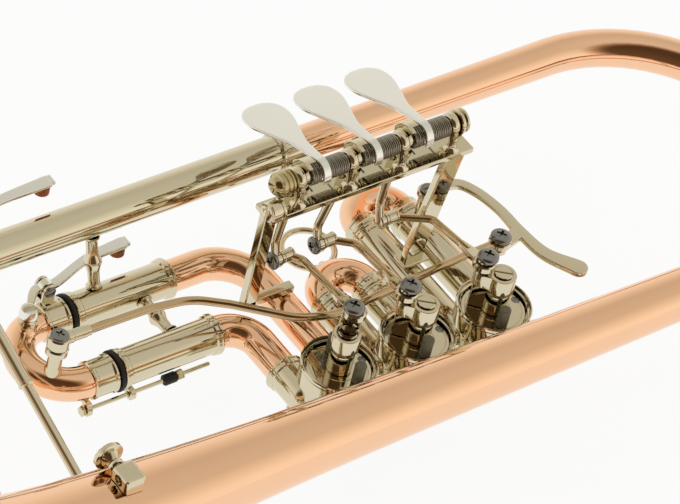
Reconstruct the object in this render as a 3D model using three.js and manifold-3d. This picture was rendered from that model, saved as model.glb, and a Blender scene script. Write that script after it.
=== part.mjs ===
// Rotary valve trumpet, in millimetres, +Z up.
// X runs along the tubes, with the bell opening towards -X and the mouthpiece at +X.
// Y runs from the bell tube (-Y) to the finger paddles (+Y). The valve caps face +Z.
// Places are measured from the axis of the middle valve, at the height of the bore.
import * as THREE from 'three';
import { mergeVertices } from 'three/addons/utils/BufferGeometryUtils.js';
import Module from 'manifold-3d';

const wasm = await Module();
wasm.setup();

// Driving dimensions
const valvePitch = 33.8;
const valveCount = 3;
const middleValve = 2;
const portOffset = 9;
const seat = 0.3;
const overrun = 1;
const mergeDistance = 0.0001;

// Tubing: the bore, the plain tube, the inner leg of a slide and the sleeve that it runs in
const boreRadius = 5.5;
const tubeWall = 0.5;
const tubeRadius = boreRadius + tubeWall;
const legRadius = 5.75;
const legWall = 0.45;
const slideClearance = 0.4;
const sleeveBore = legRadius + slideClearance;
const sleeveRadius = sleeveBore + tubeWall;
const ferruleRise = 0.55;
const ferruleLength = 3;
const ferruleRadius = sleeveRadius + ferruleRise;

// Places of the long tubes, as the Y and Z of their axes
const leadPlace = { y: -14, z: 0 };
const bellPlace = { y: -35.8, z: 31.2 };
const farPlace = { y: 83.6, z: 31.2 };
const legPlaceA = { y: 72, z: 0 };
const legPlaceB = { y: 42, z: 0 };

// Facets: how many sides round pieces have, and how far a bend turns in one step
const tubeSides = 10;
const turnedSides = 16;
const smallSides = 8;
const wireSides = 6;
const bendStep = THREE.MathUtils.degToRad(30);

// Bends of the tubes next to the valves, as shares of the tube's radius, and where ports leave a casing
const elbowShare = 2.4;
const bridgeShare = 2;
const rightPort = -Math.PI / 4;
const leftPort = (-3 * Math.PI) / 4;

// Where the stop arms' balls start: the third valve turns the other way
const ballStart = (3 * Math.PI) / 4;
const ballStartThird = Math.PI / 4;

// Valves: casing, caps, rotor and stop arm
const casing = { radius: 12.6, wall: 1.8, bottom: -13, top: 9 };
const chamberRadius = casing.radius - casing.wall;
const ring = { radius: 14.1, rimRadius: 13.6, lip: 12, bottom: 7, knurlTop: 11, top: 15.6 };
const knurl = { teeth: 18, depth: 0.6 };
const plate = { thickness: 3.2, screwRadius: 1.6, screwHeight: 0.5, screwPlace: 10 };
const bumper = { radius: 2.1, height: 8.4, place: 8.2 };
const backCap = { wall: 1.1, floor: 2.4, lap: 2, nubRadius: 4, nubHeight: 2 };
const rotor = { radius: 10.4, bottom: -10, top: 8.6, channel: 4.2 };
const spindle = { radius: 2.9, top: 20.6 };
const stopArm = {
  neckRadius: 4.4,
  neckBottom: 13.3,
  shoulder: 22,
  chamfer: 1.4,
  hubRadius: 5.1,
  top: 30.3,
  lobeRadius: 3.8,
  lobeBottom: 24.4,
  throw: 6.6,
  dogWidth: 3,
  dogReach: 9.5,
  dogTop: 16.8,
};
const slotScrew = { radius: 3.6, height: 0.6, slotWidth: 0.8, slotDepth: 0.4 };
const plateBottom = casing.top + seat;
const plateTop = plateBottom + plate.thickness;

// Ball joints: a stud through an eye, under a domed screw head
const joint = {
  stud: 1.1, eyeInner: 2.5, eyeRadius: 4.1, eyeHeight: 3, headRadius: 3.85, headHeight: 2.4, crownShare: 0.6,
};
const eyeLevel = 33.4;
const eyeShift = 1.1;
const headGap = 0.9;

// Paddles and their frame
const hinge = { y: 45.3, z: 62, rodRadius: 1.5, bearingRadius: 4.3, bearingWidth: 3.6 };
const bearingPitch = 22.1;
const firstBearing = -30.3;
const barrel = { clearance: 0.4, wall: 0.8 };
// The blade leans down from level by its angle, in degrees, and stands off the middle of its barrel by its shift
const blade = { length: 39.1, halfWidth: 8.6, angle: 12, thickness: 1.3, lift: 5.4, neckWidth: 2.4, shift: 2.45 };
// Along the blade from the hinge: share of its length, and share of its half width
const bladeShares = [
  [-0.02, 0.24], [0.12, 0.24], [0.3, 0.34], [0.5, 0.66], [0.68, 0.94], [0.8, 1], [0.9, 0.9], [0.97, 0.6],
  [1, 0.25],
];
const arm = { radius: 1.6, bendRadius: 4, outY: 51.3, backY: 49.6, backZ: 50, kneeY: 44.6, kneeZ: 34 };
// Pins at the ends of the lower arms, along X, with the link rods turning on them.
// Their places are shares of the valve pitch.
const pin = {
  y: 42.5, z: 27, radius: 1.5, plate: 3, plateWidth: 2.4, length: 3.4, headRadius: 3.3, headWidth: 2,
};
const pinShares = [0.346, -0.459, -0.991];
const pinHeads = [false, true, true];
const link = { collar: 2.6, collarLength: 5, radius: 1.4, bendRadius: 4.5, grip: 1.95, gripLength: 11.5 };
// Where each link rod bends, along X and Y from its pin, as shares of the valve pitch
const linkShares = [[0.494, -0.24], [0.346, -0.186], [0.234, -0.133]];
const cheek = { radius: 6.2, width: 1.6 };
// The base bar reaches back to its rear, with a slot for each paddle's arm from its back edge on
const base = { left: -43.5, right: 44, bottom: 50.6, top: 53, front: 38.8, back: 44.3, rear: 48.4, clearance: 0.5 };
const postFront = 40.8;
const leftLeg = { x: -41, y: 43.6, width: 5.4, depth: 3.6 };
const rightLeg = { topX: 38, topY: 41.5, footX: 26, footY: 37, footRise: 7, width: 6.4, depth: 2.6 };
const foot = { height: 1.6, length: 11, width: 7 };
const dome = { radius: 4.6, length: 6.3, crown: 3.6 };
const frameScrew = { radius: 3.8, length: 5.6, lap: 1 };
// The disc at the right end of the hinge rod: radius and height pairs as shares of its radius
const discRadius = 4.8;
const discShares = [[1, 0], [1, 0.333], [0.79, 0.458], [0.917, 0.583], [0.79, 0.917], [0, 0.917]];

// Coiled paddle springs
const coil = {
  wire: 0.35, radius: 3.4, pitch: 1.15, curls: 10, curlsLeft: 3, bridgeSteps: 4, steps: 8, sides: 5, endLength: 4.5,
};

// Third slide, its trigger and its stop
const third = {
  sleeveLeft: -96, sleeveRight: -55, ferruleLeft: -108, legRoom: 5,
  portEnd: 16.5, rearBend: 17.5, frontBend: 11,
};
const rubber = { rise: 0.9, width: 1.6 };
const trigger = {
  pivotX: 44, pivotY: 54.5, ballX: 50.3, ballY: 20.7,
  bottom: 16.1, thickness: 2.2, hubRadius: 4, padRadius: 3.25,
};
// The lever from its pivot to its finger end: its reach, and shares of that reach along X and Y
const lever = { reachX: 27, reachY: 54.5, halfWidth: 3.6, branchRoot: 3, branchTip: 2.6 };
const leverShares = [
  [0, 0], [0.426, 0.009], [0.607, 0.128], [0.696, 0.339], [0.696, 0.56], [0.756, 0.798], [1, 1],
];
const leverWidthShares = [0.56, 0.56, 0.53, 0.53, 0.61, 0.72, 1];
// How far along the lever's reach the branch to the ball leaves it
const branchShare = 0.5;
// The pillar that the lever turns on, with its saddle
const pillar = {
  radius: 3, pin: 1.8, cap: 1.6, saddleLeft: 4, saddleRight: 5, saddleFront: 4, saddleBack: 1.2, saddle: 2,
};
const rodLevel = 20.4;
const rodRadius = 1.5;
const rodBend = 22;
// The long rod between the lever's ball and the post: shares of the way along X and along Y
const rodShares = [
  [0.097, -0.012], [0.347, -0.135], [0.449, -0.184], [0.526, -0.012], [0.633, 0.634], [0.699, 0.953],
  [0.794, 1.051],
];
const rodEnd = { socketRadius: 2.25, socketShare: 0.36, capRise: 2, crown: 1.4 };
// The post on the crook, and where it stands along the crook's half turn from the back leg to the front one
const post = { radius: 3.6, neckRadius: 2.6, lipRadius: 4, shoulder: 2, taper: 1, lip: 1, drop: 3 };
const postShare = 0.73;
const stopRod = {
  y: 36.6, z: -8, radius: 0.8, lugRadius: 2.4, lugWidth: 2, headRadius: 2, headLength: 2,
  left: -111, right: -59,
};
const bumperNut = { radius: 2, left: -78.4, right: -70.4 };

// Main slide, first slide and second slide
const main = {
  sleeveLeft: -145, farRight: -1.5, ferruleLeft: -151, bendRadius: 19, left: -173, legLength: 36,
};
const first = { sleeveEnd: 59, ferruleEnd: 64, legLength: 38 };
const second = { sleeveEnd: 33, ferruleEnd: 38, legLength: 14 };
const pullRing = { radius: 9.6, wire: 1.2, sides: 12 };
const braceX = -138.4;

// Bell: the tail starts in the ferrule, the bow is a half circle and the flare ends at the rim
const bell = { tailX: 0.2, bowX: 116.6, rimX: -285, rimRadius: 65, wall: 0.6, tailRadius: 6.5 };
const bellSides = 16;
const bellSteps = { tail: 2, bow: 10 };
// Along the straight bell from the bow to the rim: share of the length, and share of the rim's radius
const flareShares = [
  [0, 0.132], [0.22, 0.155], [0.45, 0.183], [0.56, 0.208], [0.66, 0.245], [0.76, 0.305], [0.86, 0.427],
  [0.91, 0.54], [0.95, 0.67], [0.985, 0.85], [1, 1],
];
const bowEndShare = flareShares[0][1];
const bowStartShare = 0.2;

// Leadpipe and mouthpiece receiver
const receiver = { end: 202, socket: 20, radius: 7, rimRadius: 7.6, rimLength: 4, bore: 5.6, lap: 12 };
const lead = { end: receiver.end - receiver.socket, narrow: 5.2, bore: 4.6 };

// Stays: a double cone between two collars
const stay = { waist: 2.1, belly: 3.3, collar: 3, collarLength: 1.4 };
const brace = { thick: 2.5, thin: 1.9, stepShare: 0.47, collar: 3 };
const stayX = { farToThird: -84.8, third: -68.5, bellToLead: 74, bellToMain: -76 };

// Lyre holder on the bell: its bottom, its bore and its top are measured from the bell's highest line there
const lyre = { x: -151, length: 10, front: -41, back: -32, sink: 4.1, boreRise: 2.9, rise: 5.6, bore: 2 };
// Its thumb screw runs along Y, and these lengths are measured from its tip in the middle of the bore
const lyreScrew = {
  x: -153, shank: 1.6, collarStart: 5, collar: 2.7, grip: 3.4, discRadius: 5.3, discStart: 9.6, discEnd: 11.6,
};

// Water keys: a lever with a cup on a nipple, turning in a bracket beside the tube
const key = {
  width: 2.6, thickness: 2, pivot: 1.3, hub: 2.8, hubWidth: 3.2, offset: 5.5, level: 11.6, cupReach: 11,
  straight: 4.2, middleShare: 0.55, middleSpread: 5.2, spread: 6.5, touchWidth: 4.4, cup: 3.4,
  cork: 2.8, corkLength: 3.2,
};
const nipple = { radius: 3, bore: 1.4, length: 2.2 };
const bracket = { thickness: 1.2, width: 5, bottom: 4, top: 7.4, headRadius: 2.2, headWidth: 0.9 };
const keySpots = {
  third: {
    pivotX: -104, reach: 37.4, tube: legPlaceA, across: new THREE.Vector3(0, -1, 0),
    radius: (legPlaceA.y - legPlaceB.y) / 2, bendStart: third.ferruleLeft - seat,
  },
  main: {
    pivotX: -148.2, reach: 52.5, tube: farPlace,
    across: new THREE.Vector3(0, leadPlace.y - farPlace.y, leadPlace.z - farPlace.z).normalize(),
    radius: main.bendRadius, bendStart: main.left + main.bendRadius,
  },
};

// Materials by what each piece is made of
const materials = {
  goldBrass: { color: 0xd98a54, roughness: 0.12, metalness: 1 },
  nickel: { color: 0xd2cdb4, roughness: 0.12, metalness: 1 },
  paleNickel: { color: 0xdfded8, roughness: 0.18, metalness: 1 },
  brass: { color: 0xc3ab6e, roughness: 0.15, metalness: 1 },
  darkSteel: { color: 0x4a4a46, roughness: 0.35, metalness: 1 },
  rubber: { color: 0x141414, roughness: 0.6, metalness: 0 },
};

const trumpet = new THREE.Group();
const place = (x, y, z) => new THREE.Vector3(x, y, z);

// Gives a piece its name, its material and its place in the group.
function add(name, solid, materialName) {
  const mesh = new THREE.Mesh(toGeometry(solid), new THREE.MeshStandardMaterial(materials[materialName]));
  mesh.name = name;
  trumpet.add(mesh);
}

function toGeometry(solid) {
  const { vertProperties, triVerts } = solid.getMesh();
  const geometry = new THREE.BufferGeometry();
  geometry.setAttribute('position', new THREE.BufferAttribute(vertProperties, 3));
  geometry.setIndex(new THREE.BufferAttribute(triVerts, 1));
  geometry.computeVertexNormals();
  return geometry;
}

// Turns a closed geometry into a solid with its faces pointing out.
function toSolid(geometry) {
  const bare = new THREE.BufferGeometry();
  bare.setAttribute('position', geometry.attributes.position.clone());
  if (geometry.index) bare.setIndex(geometry.index.clone());
  const merged = mergeVertices(bare, mergeDistance);
  const points = merged.attributes.position;
  const corners = [place(0, 0, 0), place(0, 0, 0), place(0, 0, 0)];
  const triangles = [];
  let volume = 0;
  for (let i = 0; i < merged.index.count; i += 3) {
    const ids = [0, 1, 2].map((k) => merged.index.getX(i + k));
    if (new Set(ids).size < ids.length) continue;
    ids.forEach((id, k) => corners[k].fromBufferAttribute(points, id));
    volume += corners[0].dot(corners[1].clone().cross(corners[2]));
    triangles.push(ids);
  }
  const triVerts = Uint32Array.from(triangles.flatMap((ids) => (volume < 0 ? ids.reverse() : ids)));
  return new wasm.Manifold(new wasm.Mesh({ numProp: 3, vertProperties: points.array, triVerts }));
}

const join = (...solids) => solids.reduce((whole, solid) => whole.add(solid));
const cut = (solid, ...cutters) => cutters.reduce((rest, cutter) => rest.subtract(cutter), solid);

// A block between two opposite corners.
function block(low, high) {
  const size = high.clone().sub(low);
  const middle = low.clone().add(high).multiplyScalar(0.5);
  return toSolid(new THREE.BoxGeometry(size.x, size.y, size.z).translate(middle.x, middle.y, middle.z));
}

// A solid of revolution: profile pairs are radius and height along the axis, which runs from a point.
function turned(profile, from = place(0, 0, 0), axis = place(0, 0, 1), sides = turnedSides) {
  const outline = profile.map(([radius, height]) => new THREE.Vector2(radius, height));
  const geometry = new THREE.LatheGeometry(outline, sides);
  const turn = new THREE.Quaternion().setFromUnitVectors(place(0, 1, 0), axis.clone().normalize());
  return toSolid(geometry.applyQuaternion(turn).translate(from.x, from.y, from.z));
}

// A round bar between two points.
function bar(from, to, radius, sides = tubeSides) {
  const length = from.distanceTo(to);
  return turned([[0, 0], [radius, 0], [radius, length], [0, length]], from, to.clone().sub(from), sides);
}

// A path of stations, each a point with the direction of travel there.
class Route extends THREE.Curve {
  constructor(stations) {
    super();
    this.stations = stations;
  }

  sample(share, field) {
    const last = this.stations.length - 1;
    const low = Math.min(Math.floor(share * last + mergeDistance), last - 1);
    const part = share * last - low;
    return this.stations[low][field].clone().lerp(this.stations[low + 1][field], part);
  }

  getPoint(share) {
    return this.sample(share, 'point');
  }

  getPointAt(share) {
    return this.getPoint(share);
  }

  getTangentAt(share) {
    return this.sample(share, 'direction').normalize();
  }
}

// The stations of a circular bend at a corner between two neighbours.
function bendStations(before, corner, after, radius, step = bendStep) {
  const incoming = corner.clone().sub(before).normalize();
  const outgoing = after.clone().sub(corner).normalize();
  const angle = incoming.angleTo(outgoing);
  const reach = radius * Math.tan(angle / 2);
  const start = corner.clone().addScaledVector(incoming, -reach);
  const axis = incoming.clone().cross(outgoing).normalize();
  const centre = start.clone().addScaledVector(axis.clone().cross(incoming), radius);
  const count = Math.max(1, Math.ceil(angle / step));
  return Array.from({ length: count + 1 }, (unused, k) => {
    const turn = (angle * k) / count;
    return {
      point: start.clone().sub(centre).applyAxisAngle(axis, turn).add(centre),
      direction: incoming.clone().applyAxisAngle(axis, turn),
    };
  });
}

// A route through corners: each is a point, with the radius of the bend there for the inner ones.
function routeThrough(corners, step = bendStep) {
  const points = corners.map((corner) => corner.point);
  return new Route(corners.flatMap(({ point, radius }, i) => {
    if (i === 0) return [{ point, direction: points[1].clone().sub(point).normalize() }];
    if (i === corners.length - 1) return [{ point, direction: point.clone().sub(points[i - 1]).normalize() }];
    return bendStations(points[i - 1], point, points[i + 1], radius, step);
  }));
}

const polygon = (radius, sides) => Array.from({ length: sides }, (unused, k) => {
  const angle = (2 * Math.PI * k) / sides;
  return new THREE.Vector2(radius * Math.cos(angle), radius * Math.sin(angle));
});

// A round tube or bar of even thickness along a route.
function pipe(route, outer, inner = 0, sides = tubeSides) {
  const section = new THREE.Shape(polygon(outer, sides));
  if (inner > 0) section.holes.push(new THREE.Path(polygon(inner, sides)));
  const steps = route.stations.length - 1;
  return toSolid(new THREE.ExtrudeGeometry(section, { steps, extrudePath: route, curveSegments: 1 }));
}

// A tube whose outer and inner radius change from station to station.
function taperedPipe(route, outers, inners, sides = tubeSides) {
  const steps = route.stations.length - 1;
  const { normals, binormals } = route.computeFrenetFrames(steps, false);
  const positions = [];
  const indices = [];
  const skins = [outers, inners];
  skins.forEach((radii) => route.stations.forEach(({ point }, i) => {
    polygon(radii[i], sides).forEach((corner) => {
      const spot = point.clone();
      spot.addScaledVector(normals[i], corner.x).addScaledVector(binormals[i], corner.y);
      positions.push(spot.x, spot.y, spot.z);
    });
  }));
  const at = (skin, i, k) => (skin * (steps + 1) + i) * sides + (k % sides);
  const quad = (a, b, c, d) => indices.push(a, b, c, a, c, d);
  for (let k = 0; k < sides; k += 1) {
    for (let i = 0; i < steps; i += 1) {
      quad(at(0, i, k), at(0, i, k + 1), at(0, i + 1, k + 1), at(0, i + 1, k));
      quad(at(1, i, k), at(1, i + 1, k), at(1, i + 1, k + 1), at(1, i, k + 1));
    }
    quad(at(0, 0, k), at(1, 0, k), at(1, 0, k + 1), at(0, 0, k + 1));
    quad(at(0, steps, k), at(0, steps, k + 1), at(1, steps, k + 1), at(1, steps, k));
  }
  const geometry = new THREE.BufferGeometry();
  geometry.setAttribute('position', new THREE.Float32BufferAttribute(positions, 3));
  geometry.setIndex(indices);
  return toSolid(geometry);
}

// A flat piece with an outline in X and Y, between two heights.
function plateOf(outline, bottom, top) {
  const depth = top - bottom;
  const geometry = new THREE.ExtrudeGeometry(new THREE.Shape(outline), { depth, bevelEnabled: false });
  return toSolid(geometry.translate(0, 0, bottom));
}

// The outline of a strap of given half widths along points in X and Y, with a round far end.
function strapOutline(points, halfWidths) {
  const side = (sign) => points.map((point, i) => {
    const before = points[Math.max(i - 1, 0)];
    const after = points[Math.min(i + 1, points.length - 1)];
    const along = after.clone().sub(before).normalize();
    return point.clone().add(new THREE.Vector2(-along.y, along.x).multiplyScalar(sign * halfWidths[i]));
  });
  return [...side(-1), ...side(1).reverse()];
}

const valveX = (n) => (middleValve - n) * valvePitch;
const valveTurn = (n) => (n === valveCount ? -1 : 1);
// The stop arm's ball starts on the side away from the valve's own turning sense.
const ballAngle = (n) => (n === valveCount ? ballStartThird : ballStart);
const onCircle = (x, angle, radius, z) => place(x + radius * Math.cos(angle), radius * Math.sin(angle), z);

// The short tube that leaves a valve at 45 degrees and turns to run along X.
function portRoute(n, side, endX) {
  const start = onCircle(valveX(n), side > 0 ? rightPort : leftPort, chamberRadius - overrun, leadPlace.z);
  const corner = place(valveX(n) + side * Math.abs(leadPlace.y), leadPlace.y, leadPlace.z);
  const rest = { point: place(endX, leadPlace.y, leadPlace.z) };
  return [{ point: start }, { point: corner, radius: tubeRadius * elbowShare }, rest];
}

// The bridge between two valves: an arc from one port to the next.
function bridgeRoute(n) {
  const start = onCircle(valveX(n), leftPort, chamberRadius - overrun, 0);
  const end = onCircle(valveX(n + 1), rightPort, chamberRadius - overrun, 0);
  const corner = place((start.x + end.x) / 2, start.y - (start.x - end.x) / 2, 0);
  return routeThrough([{ point: start }, { point: corner, radius: tubeRadius * bridgeShare }, { point: end }]);
}

const casingCylinder = (n, extra = 0) => turned([
  [0, casing.bottom - extra], [casing.radius + extra, casing.bottom - extra],
  [casing.radius + extra, casing.top + extra], [0, casing.top + extra],
], place(valveX(n), 0, 0));

const chamber = (n) => turned([
  [0, casing.bottom - overrun], [chamberRadius, casing.bottom - overrun],
  [chamberRadius, casing.top + overrun], [0, casing.top + overrun],
], place(valveX(n), 0, 0));

const portLine = (n, side, y) => place(valveX(n) + side * portOffset, y, 0);
const stubEnd = casing.radius + overrun;

// The two slide ports of a valve as outer bodies and as the bores inside them.
function slidePorts(n, sleeveEnd) {
  const outers = [];
  const bores = [];
  for (const side of [-1, 1]) {
    outers.push(bar(portLine(n, side, 0), portLine(n, side, sleeveEnd), sleeveRadius));
    outers.push(bar(portLine(n, side, sleeveEnd - ferruleLength), portLine(n, side, sleeveEnd), ferruleRadius));
    bores.push(bar(portLine(n, side, 0), portLine(n, side, sleeveEnd + overrun), boreRadius));
    bores.push(bar(portLine(n, side, stubEnd), portLine(n, side, sleeveEnd + overrun), sleeveBore));
  }
  return { outers, bores };
}

function makeCasing(n, sleeveEnd) {
  const ports = slidePorts(n, sleeveEnd);
  const bodies = [casingCylinder(n), ...ports.outers];
  const cutters = [chamber(n), ...ports.bores];
  if (n < valveCount) {
    bodies.push(pipe(bridgeRoute(n), tubeRadius));
    cutters.push(pipe(bridgeRoute(n), boreRadius), casingCylinder(n + 1, seat));
  }
  if (n > 1) cutters.push(pipe(bridgeRoute(n - 1), boreRadius));
  if (n === 1) cutters.push(pipe(routeThrough(portRoute(n, 1, lead.end)), boreRadius));
  if (n === valveCount) cutters.push(pipe(routeThrough(portRoute(n, -1, main.sleeveLeft)), boreRadius));
  add(`casing_${n}`, cut(join(...bodies), ...cutters), 'nickel');
}

// The knurled ring that screws over the top of the casing.
function makeRing(n) {
  const toothed = Array.from({ length: 2 * knurl.teeth }, (unused, k) => {
    const angle = (Math.PI * k) / knurl.teeth;
    const radius = ring.radius - (k % 2) * knurl.depth;
    return new THREE.Vector2(radius * Math.cos(angle), radius * Math.sin(angle));
  });
  const threadRadius = casing.radius + seat;
  const collar = plateOf(toothed, ring.bottom, ring.knurlTop);
  const rim = turned([
    [0, ring.knurlTop - overrun], [ring.rimRadius, ring.knurlTop - overrun],
    [ring.rimRadius, ring.top], [0, ring.top],
  ]);
  const hollow = turned([
    [0, ring.bottom - overrun], [threadRadius, ring.bottom - overrun], [threadRadius, plateBottom],
    [ring.lip, plateBottom], [ring.lip, ring.top + overrun], [0, ring.top + overrun],
  ]);
  add(`knurled_ring_${n}`, cut(join(collar, rim), hollow).translate([valveX(n), 0, 0]), 'nickel');
}

// How far the stop bumpers stand from the ends of the stop dog's swing.
const bumperAngle = Math.asin((bumper.radius + stopArm.dogWidth / 2 + seat) / bumper.place);

// The bearing plate under the ring, with its two bumpers and its screw.
function makePlate(n) {
  const disc = turned([
    [spindle.radius + seat, plateBottom], [ring.lip - seat, plateBottom], [ring.lip - seat, plateTop],
    [spindle.radius + seat, plateTop], [spindle.radius + seat, plateBottom],
  ]);
  const start = ballAngle(n);
  const end = start + (valveTurn(n) * Math.PI) / 2;
  const angles = [start - valveTurn(n) * bumperAngle, end + valveTurn(n) * bumperAngle];
  const bumpers = angles.map((angle) => {
    const centre = onCircle(0, angle, bumper.place, plateTop - overrun);
    return bar(centre, centre.clone().setZ(plateTop + bumper.height), bumper.radius, smallSides);
  });
  const screwFoot = place(plate.screwPlace, 0, plateTop - overrun);
  const screwTop = screwFoot.clone().setZ(plateTop + plate.screwHeight);
  const screw = bar(screwFoot, screwTop, plate.screwRadius, smallSides);
  add(`bearing_plate_${n}`, join(disc, screw, ...bumpers).translate([valveX(n), 0, 0]), 'nickel');
}

function makeBackCap(n) {
  const inner = casing.radius + seat;
  const outer = inner + backCap.wall;
  const lip = casing.bottom + backCap.lap;
  const floorTop = casing.bottom - seat;
  const floor = floorTop - backCap.floor;
  const cap = turned([
    [0, floor - backCap.nubHeight], [backCap.nubRadius, floor - backCap.nubHeight], [backCap.nubRadius, floor],
    [outer - backCap.wall, floor], [outer, floor + backCap.wall], [outer, lip], [inner, lip],
    [inner, floorTop], [0, floorTop],
  ]);
  add(`back_cap_${n}`, cap.translate([valveX(n), 0, 0]), 'nickel');
}

// The rotor: a plug with two curved channels, on a spindle that carries the stop arm.
function makeRotor(n) {
  const plug = turned([
    [0, rotor.bottom], [rotor.radius, rotor.bottom], [rotor.radius, rotor.top], [spindle.radius, rotor.top],
    [spindle.radius, spindle.top], [0, spindle.top],
  ]);
  const channels = [1, -1].map((side) => {
    const reach = rotor.radius + overrun;
    const ends = [1, -1].map((way) => place((way * reach) / Math.SQRT2, (side * reach) / Math.SQRT2, 0));
    const corner = place(0, 0, 0);
    const route = routeThrough([
      { point: ends[0] }, { point: corner, radius: rotor.radius }, { point: ends[1] },
    ]);
    return pipe(route, rotor.channel, 0, smallSides);
  });
  add(`rotor_${n}`, cut(plug, ...channels).translate([valveX(n), 0, 0]), 'nickel');
}

// A domed screw head on a stud, with its axis through a point and its top along a direction.
function studAndHead(foot, axis, studLength) {
  const top = studLength + joint.headHeight;
  return turned([
    [0, -overrun], [joint.stud, -overrun], [joint.stud, studLength], [joint.headRadius, studLength],
    [joint.headRadius, studLength + joint.headHeight / 2], [joint.headRadius * joint.crownShare, top], [0, top],
  ], foot, axis, smallSides);
}

const eyeTop = eyeLevel + joint.eyeHeight / 2;
const ballPlace = (n) => onCircle(0, ballAngle(n), stopArm.throw, stopArm.top);

// The stop arm: hub with its slotted screw, side lobe, ball stud with its head, and stop dog.
function makeStopArm(n) {
  const hub = turned([
    [0, stopArm.neckBottom], [stopArm.neckRadius, stopArm.neckBottom], [stopArm.neckRadius, stopArm.shoulder],
    [stopArm.hubRadius, stopArm.shoulder + stopArm.chamfer], [stopArm.hubRadius, stopArm.top],
    [slotScrew.radius, stopArm.top], [slotScrew.radius, stopArm.top + slotScrew.height],
    [0, stopArm.top + slotScrew.height],
  ], place(0, 0, 0), place(0, 0, 1), tubeSides);
  const ball = ballPlace(n);
  const lobe = bar(ball.clone().setZ(stopArm.lobeBottom), ball, stopArm.lobeRadius, smallSides);
  const web = block(
    place(0, -stopArm.lobeRadius, stopArm.lobeBottom),
    place(stopArm.throw, stopArm.lobeRadius, stopArm.top),
  );
  const dog = block(
    place(0, -stopArm.dogWidth / 2, stopArm.neckBottom),
    place(stopArm.dogReach, stopArm.dogWidth / 2, stopArm.dogTop),
  );
  const degrees = THREE.MathUtils.radToDeg(ballAngle(n));
  const arms = join(web, dog).rotate([0, 0, degrees]);
  const head = studAndHead(ball, place(0, 0, 1), eyeTop + headGap - stopArm.top);
  const slotTop = stopArm.top + slotScrew.height;
  const slot = block(
    place(-slotScrew.radius - overrun, -slotScrew.slotWidth / 2, slotTop - slotScrew.slotDepth),
    place(slotScrew.radius + overrun, slotScrew.slotWidth / 2, slotTop + overrun),
  );
  const socket = bar(
    place(0, 0, stopArm.neckBottom - overrun),
    place(0, 0, spindle.top + seat),
    spindle.radius + seat,
  );
  add(`stop_arm_${n}`, cut(join(hub, lobe, arms, head), slot, socket).translate([valveX(n), 0, 0]), 'nickel');
}

// Stay between two points: collars at the ends and a double cone between them.
function makeStay(name, from, to, fromRadius, toRadius) {
  const axis = to.clone().sub(from).normalize();
  const start = from.clone().addScaledVector(axis, fromRadius + seat);
  const length = from.distanceTo(to) - fromRadius - toRadius - 2 * seat;
  const end = length - stay.collarLength;
  add(name, turned([
    [0, 0], [stay.collar, 0], [stay.collar, stay.collarLength], [stay.waist, stay.collarLength],
    [stay.belly, length / 2], [stay.waist, end], [stay.collar, end], [stay.collar, length], [0, length],
  ], start, axis, smallSides), 'nickel');
}

// A place along one of the long tubes.
const along = (tubePlace, x) => place(x, tubePlace.y, tubePlace.z);

// The four stays between neighbouring tubes.
function makeStays() {
  const spans = [
    ['stay_far_to_third', stayX.farToThird, farPlace, legPlaceA, sleeveRadius, sleeveRadius],
    ['stay_third', stayX.third, legPlaceA, legPlaceB, sleeveRadius, sleeveRadius],
    ['stay_bell_to_lead', stayX.bellToLead, bellPlace, leadPlace, bellRadius(stayX.bellToLead), tubeRadius],
    ['stay_bell_to_main', stayX.bellToMain, bellPlace, leadPlace, bellRadius(stayX.bellToMain), sleeveRadius],
  ];
  spans.forEach(([name, x, from, to, fromRadius, toRadius]) => {
    makeStay(name, along(from, x), along(to, x), fromRadius, toRadius);
  });
}

// Leadpipe and receiver
function makeLeadpipe() {
  const route = routeThrough(portRoute(1, 1, lead.end));
  const count = route.stations.length;
  const taper = (share) => THREE.MathUtils.lerp(tubeRadius, lead.narrow, share);
  const boreAt = (share) => THREE.MathUtils.lerp(boreRadius, lead.bore, share);
  const isEnd = (i) => (i === count - 1 ? 1 : 0);
  const outers = route.stations.map((unused, i) => taper(isEnd(i)));
  const inners = route.stations.map((unused, i) => boreAt(isEnd(i)));
  add('leadpipe', cut(taperedPipe(route, outers, inners), casingCylinder(1, seat)), 'goldBrass');
  const start = lead.end - receiver.lap;
  const lapRadius = lead.narrow + seat;
  const shareAtLap = (start - valveX(1)) / (lead.end - valveX(1));
  const lapBore = taper(shareAtLap) + seat;
  add('mouthpiece_receiver', turned([
    [lapBore, 0], [receiver.radius, 0], [receiver.radius, receiver.end - start - receiver.rimLength],
    [receiver.rimRadius, receiver.end - start - receiver.rimLength], [receiver.rimRadius, receiver.end - start],
    [receiver.bore, receiver.end - start], [receiver.bore, receiver.lap + seat], [lapRadius, receiver.lap + seat],
    [lapBore, 0],
  ], place(start, leadPlace.y, leadPlace.z), place(1, 0, 0)), 'nickel');
}

// The bell's outer radius at a place along its straight part.
function bellRadius(x) {
  const share = (bell.bowX - x) / (bell.bowX - bell.rimX);
  const next = flareShares.findIndex(([lengthShare]) => lengthShare > share);
  const [[x0, r0], [x1, r1]] = [flareShares[next - 1], flareShares[next]];
  return bell.rimRadius * THREE.MathUtils.mapLinear(share, x0, x1, r0, r1);
}

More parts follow.
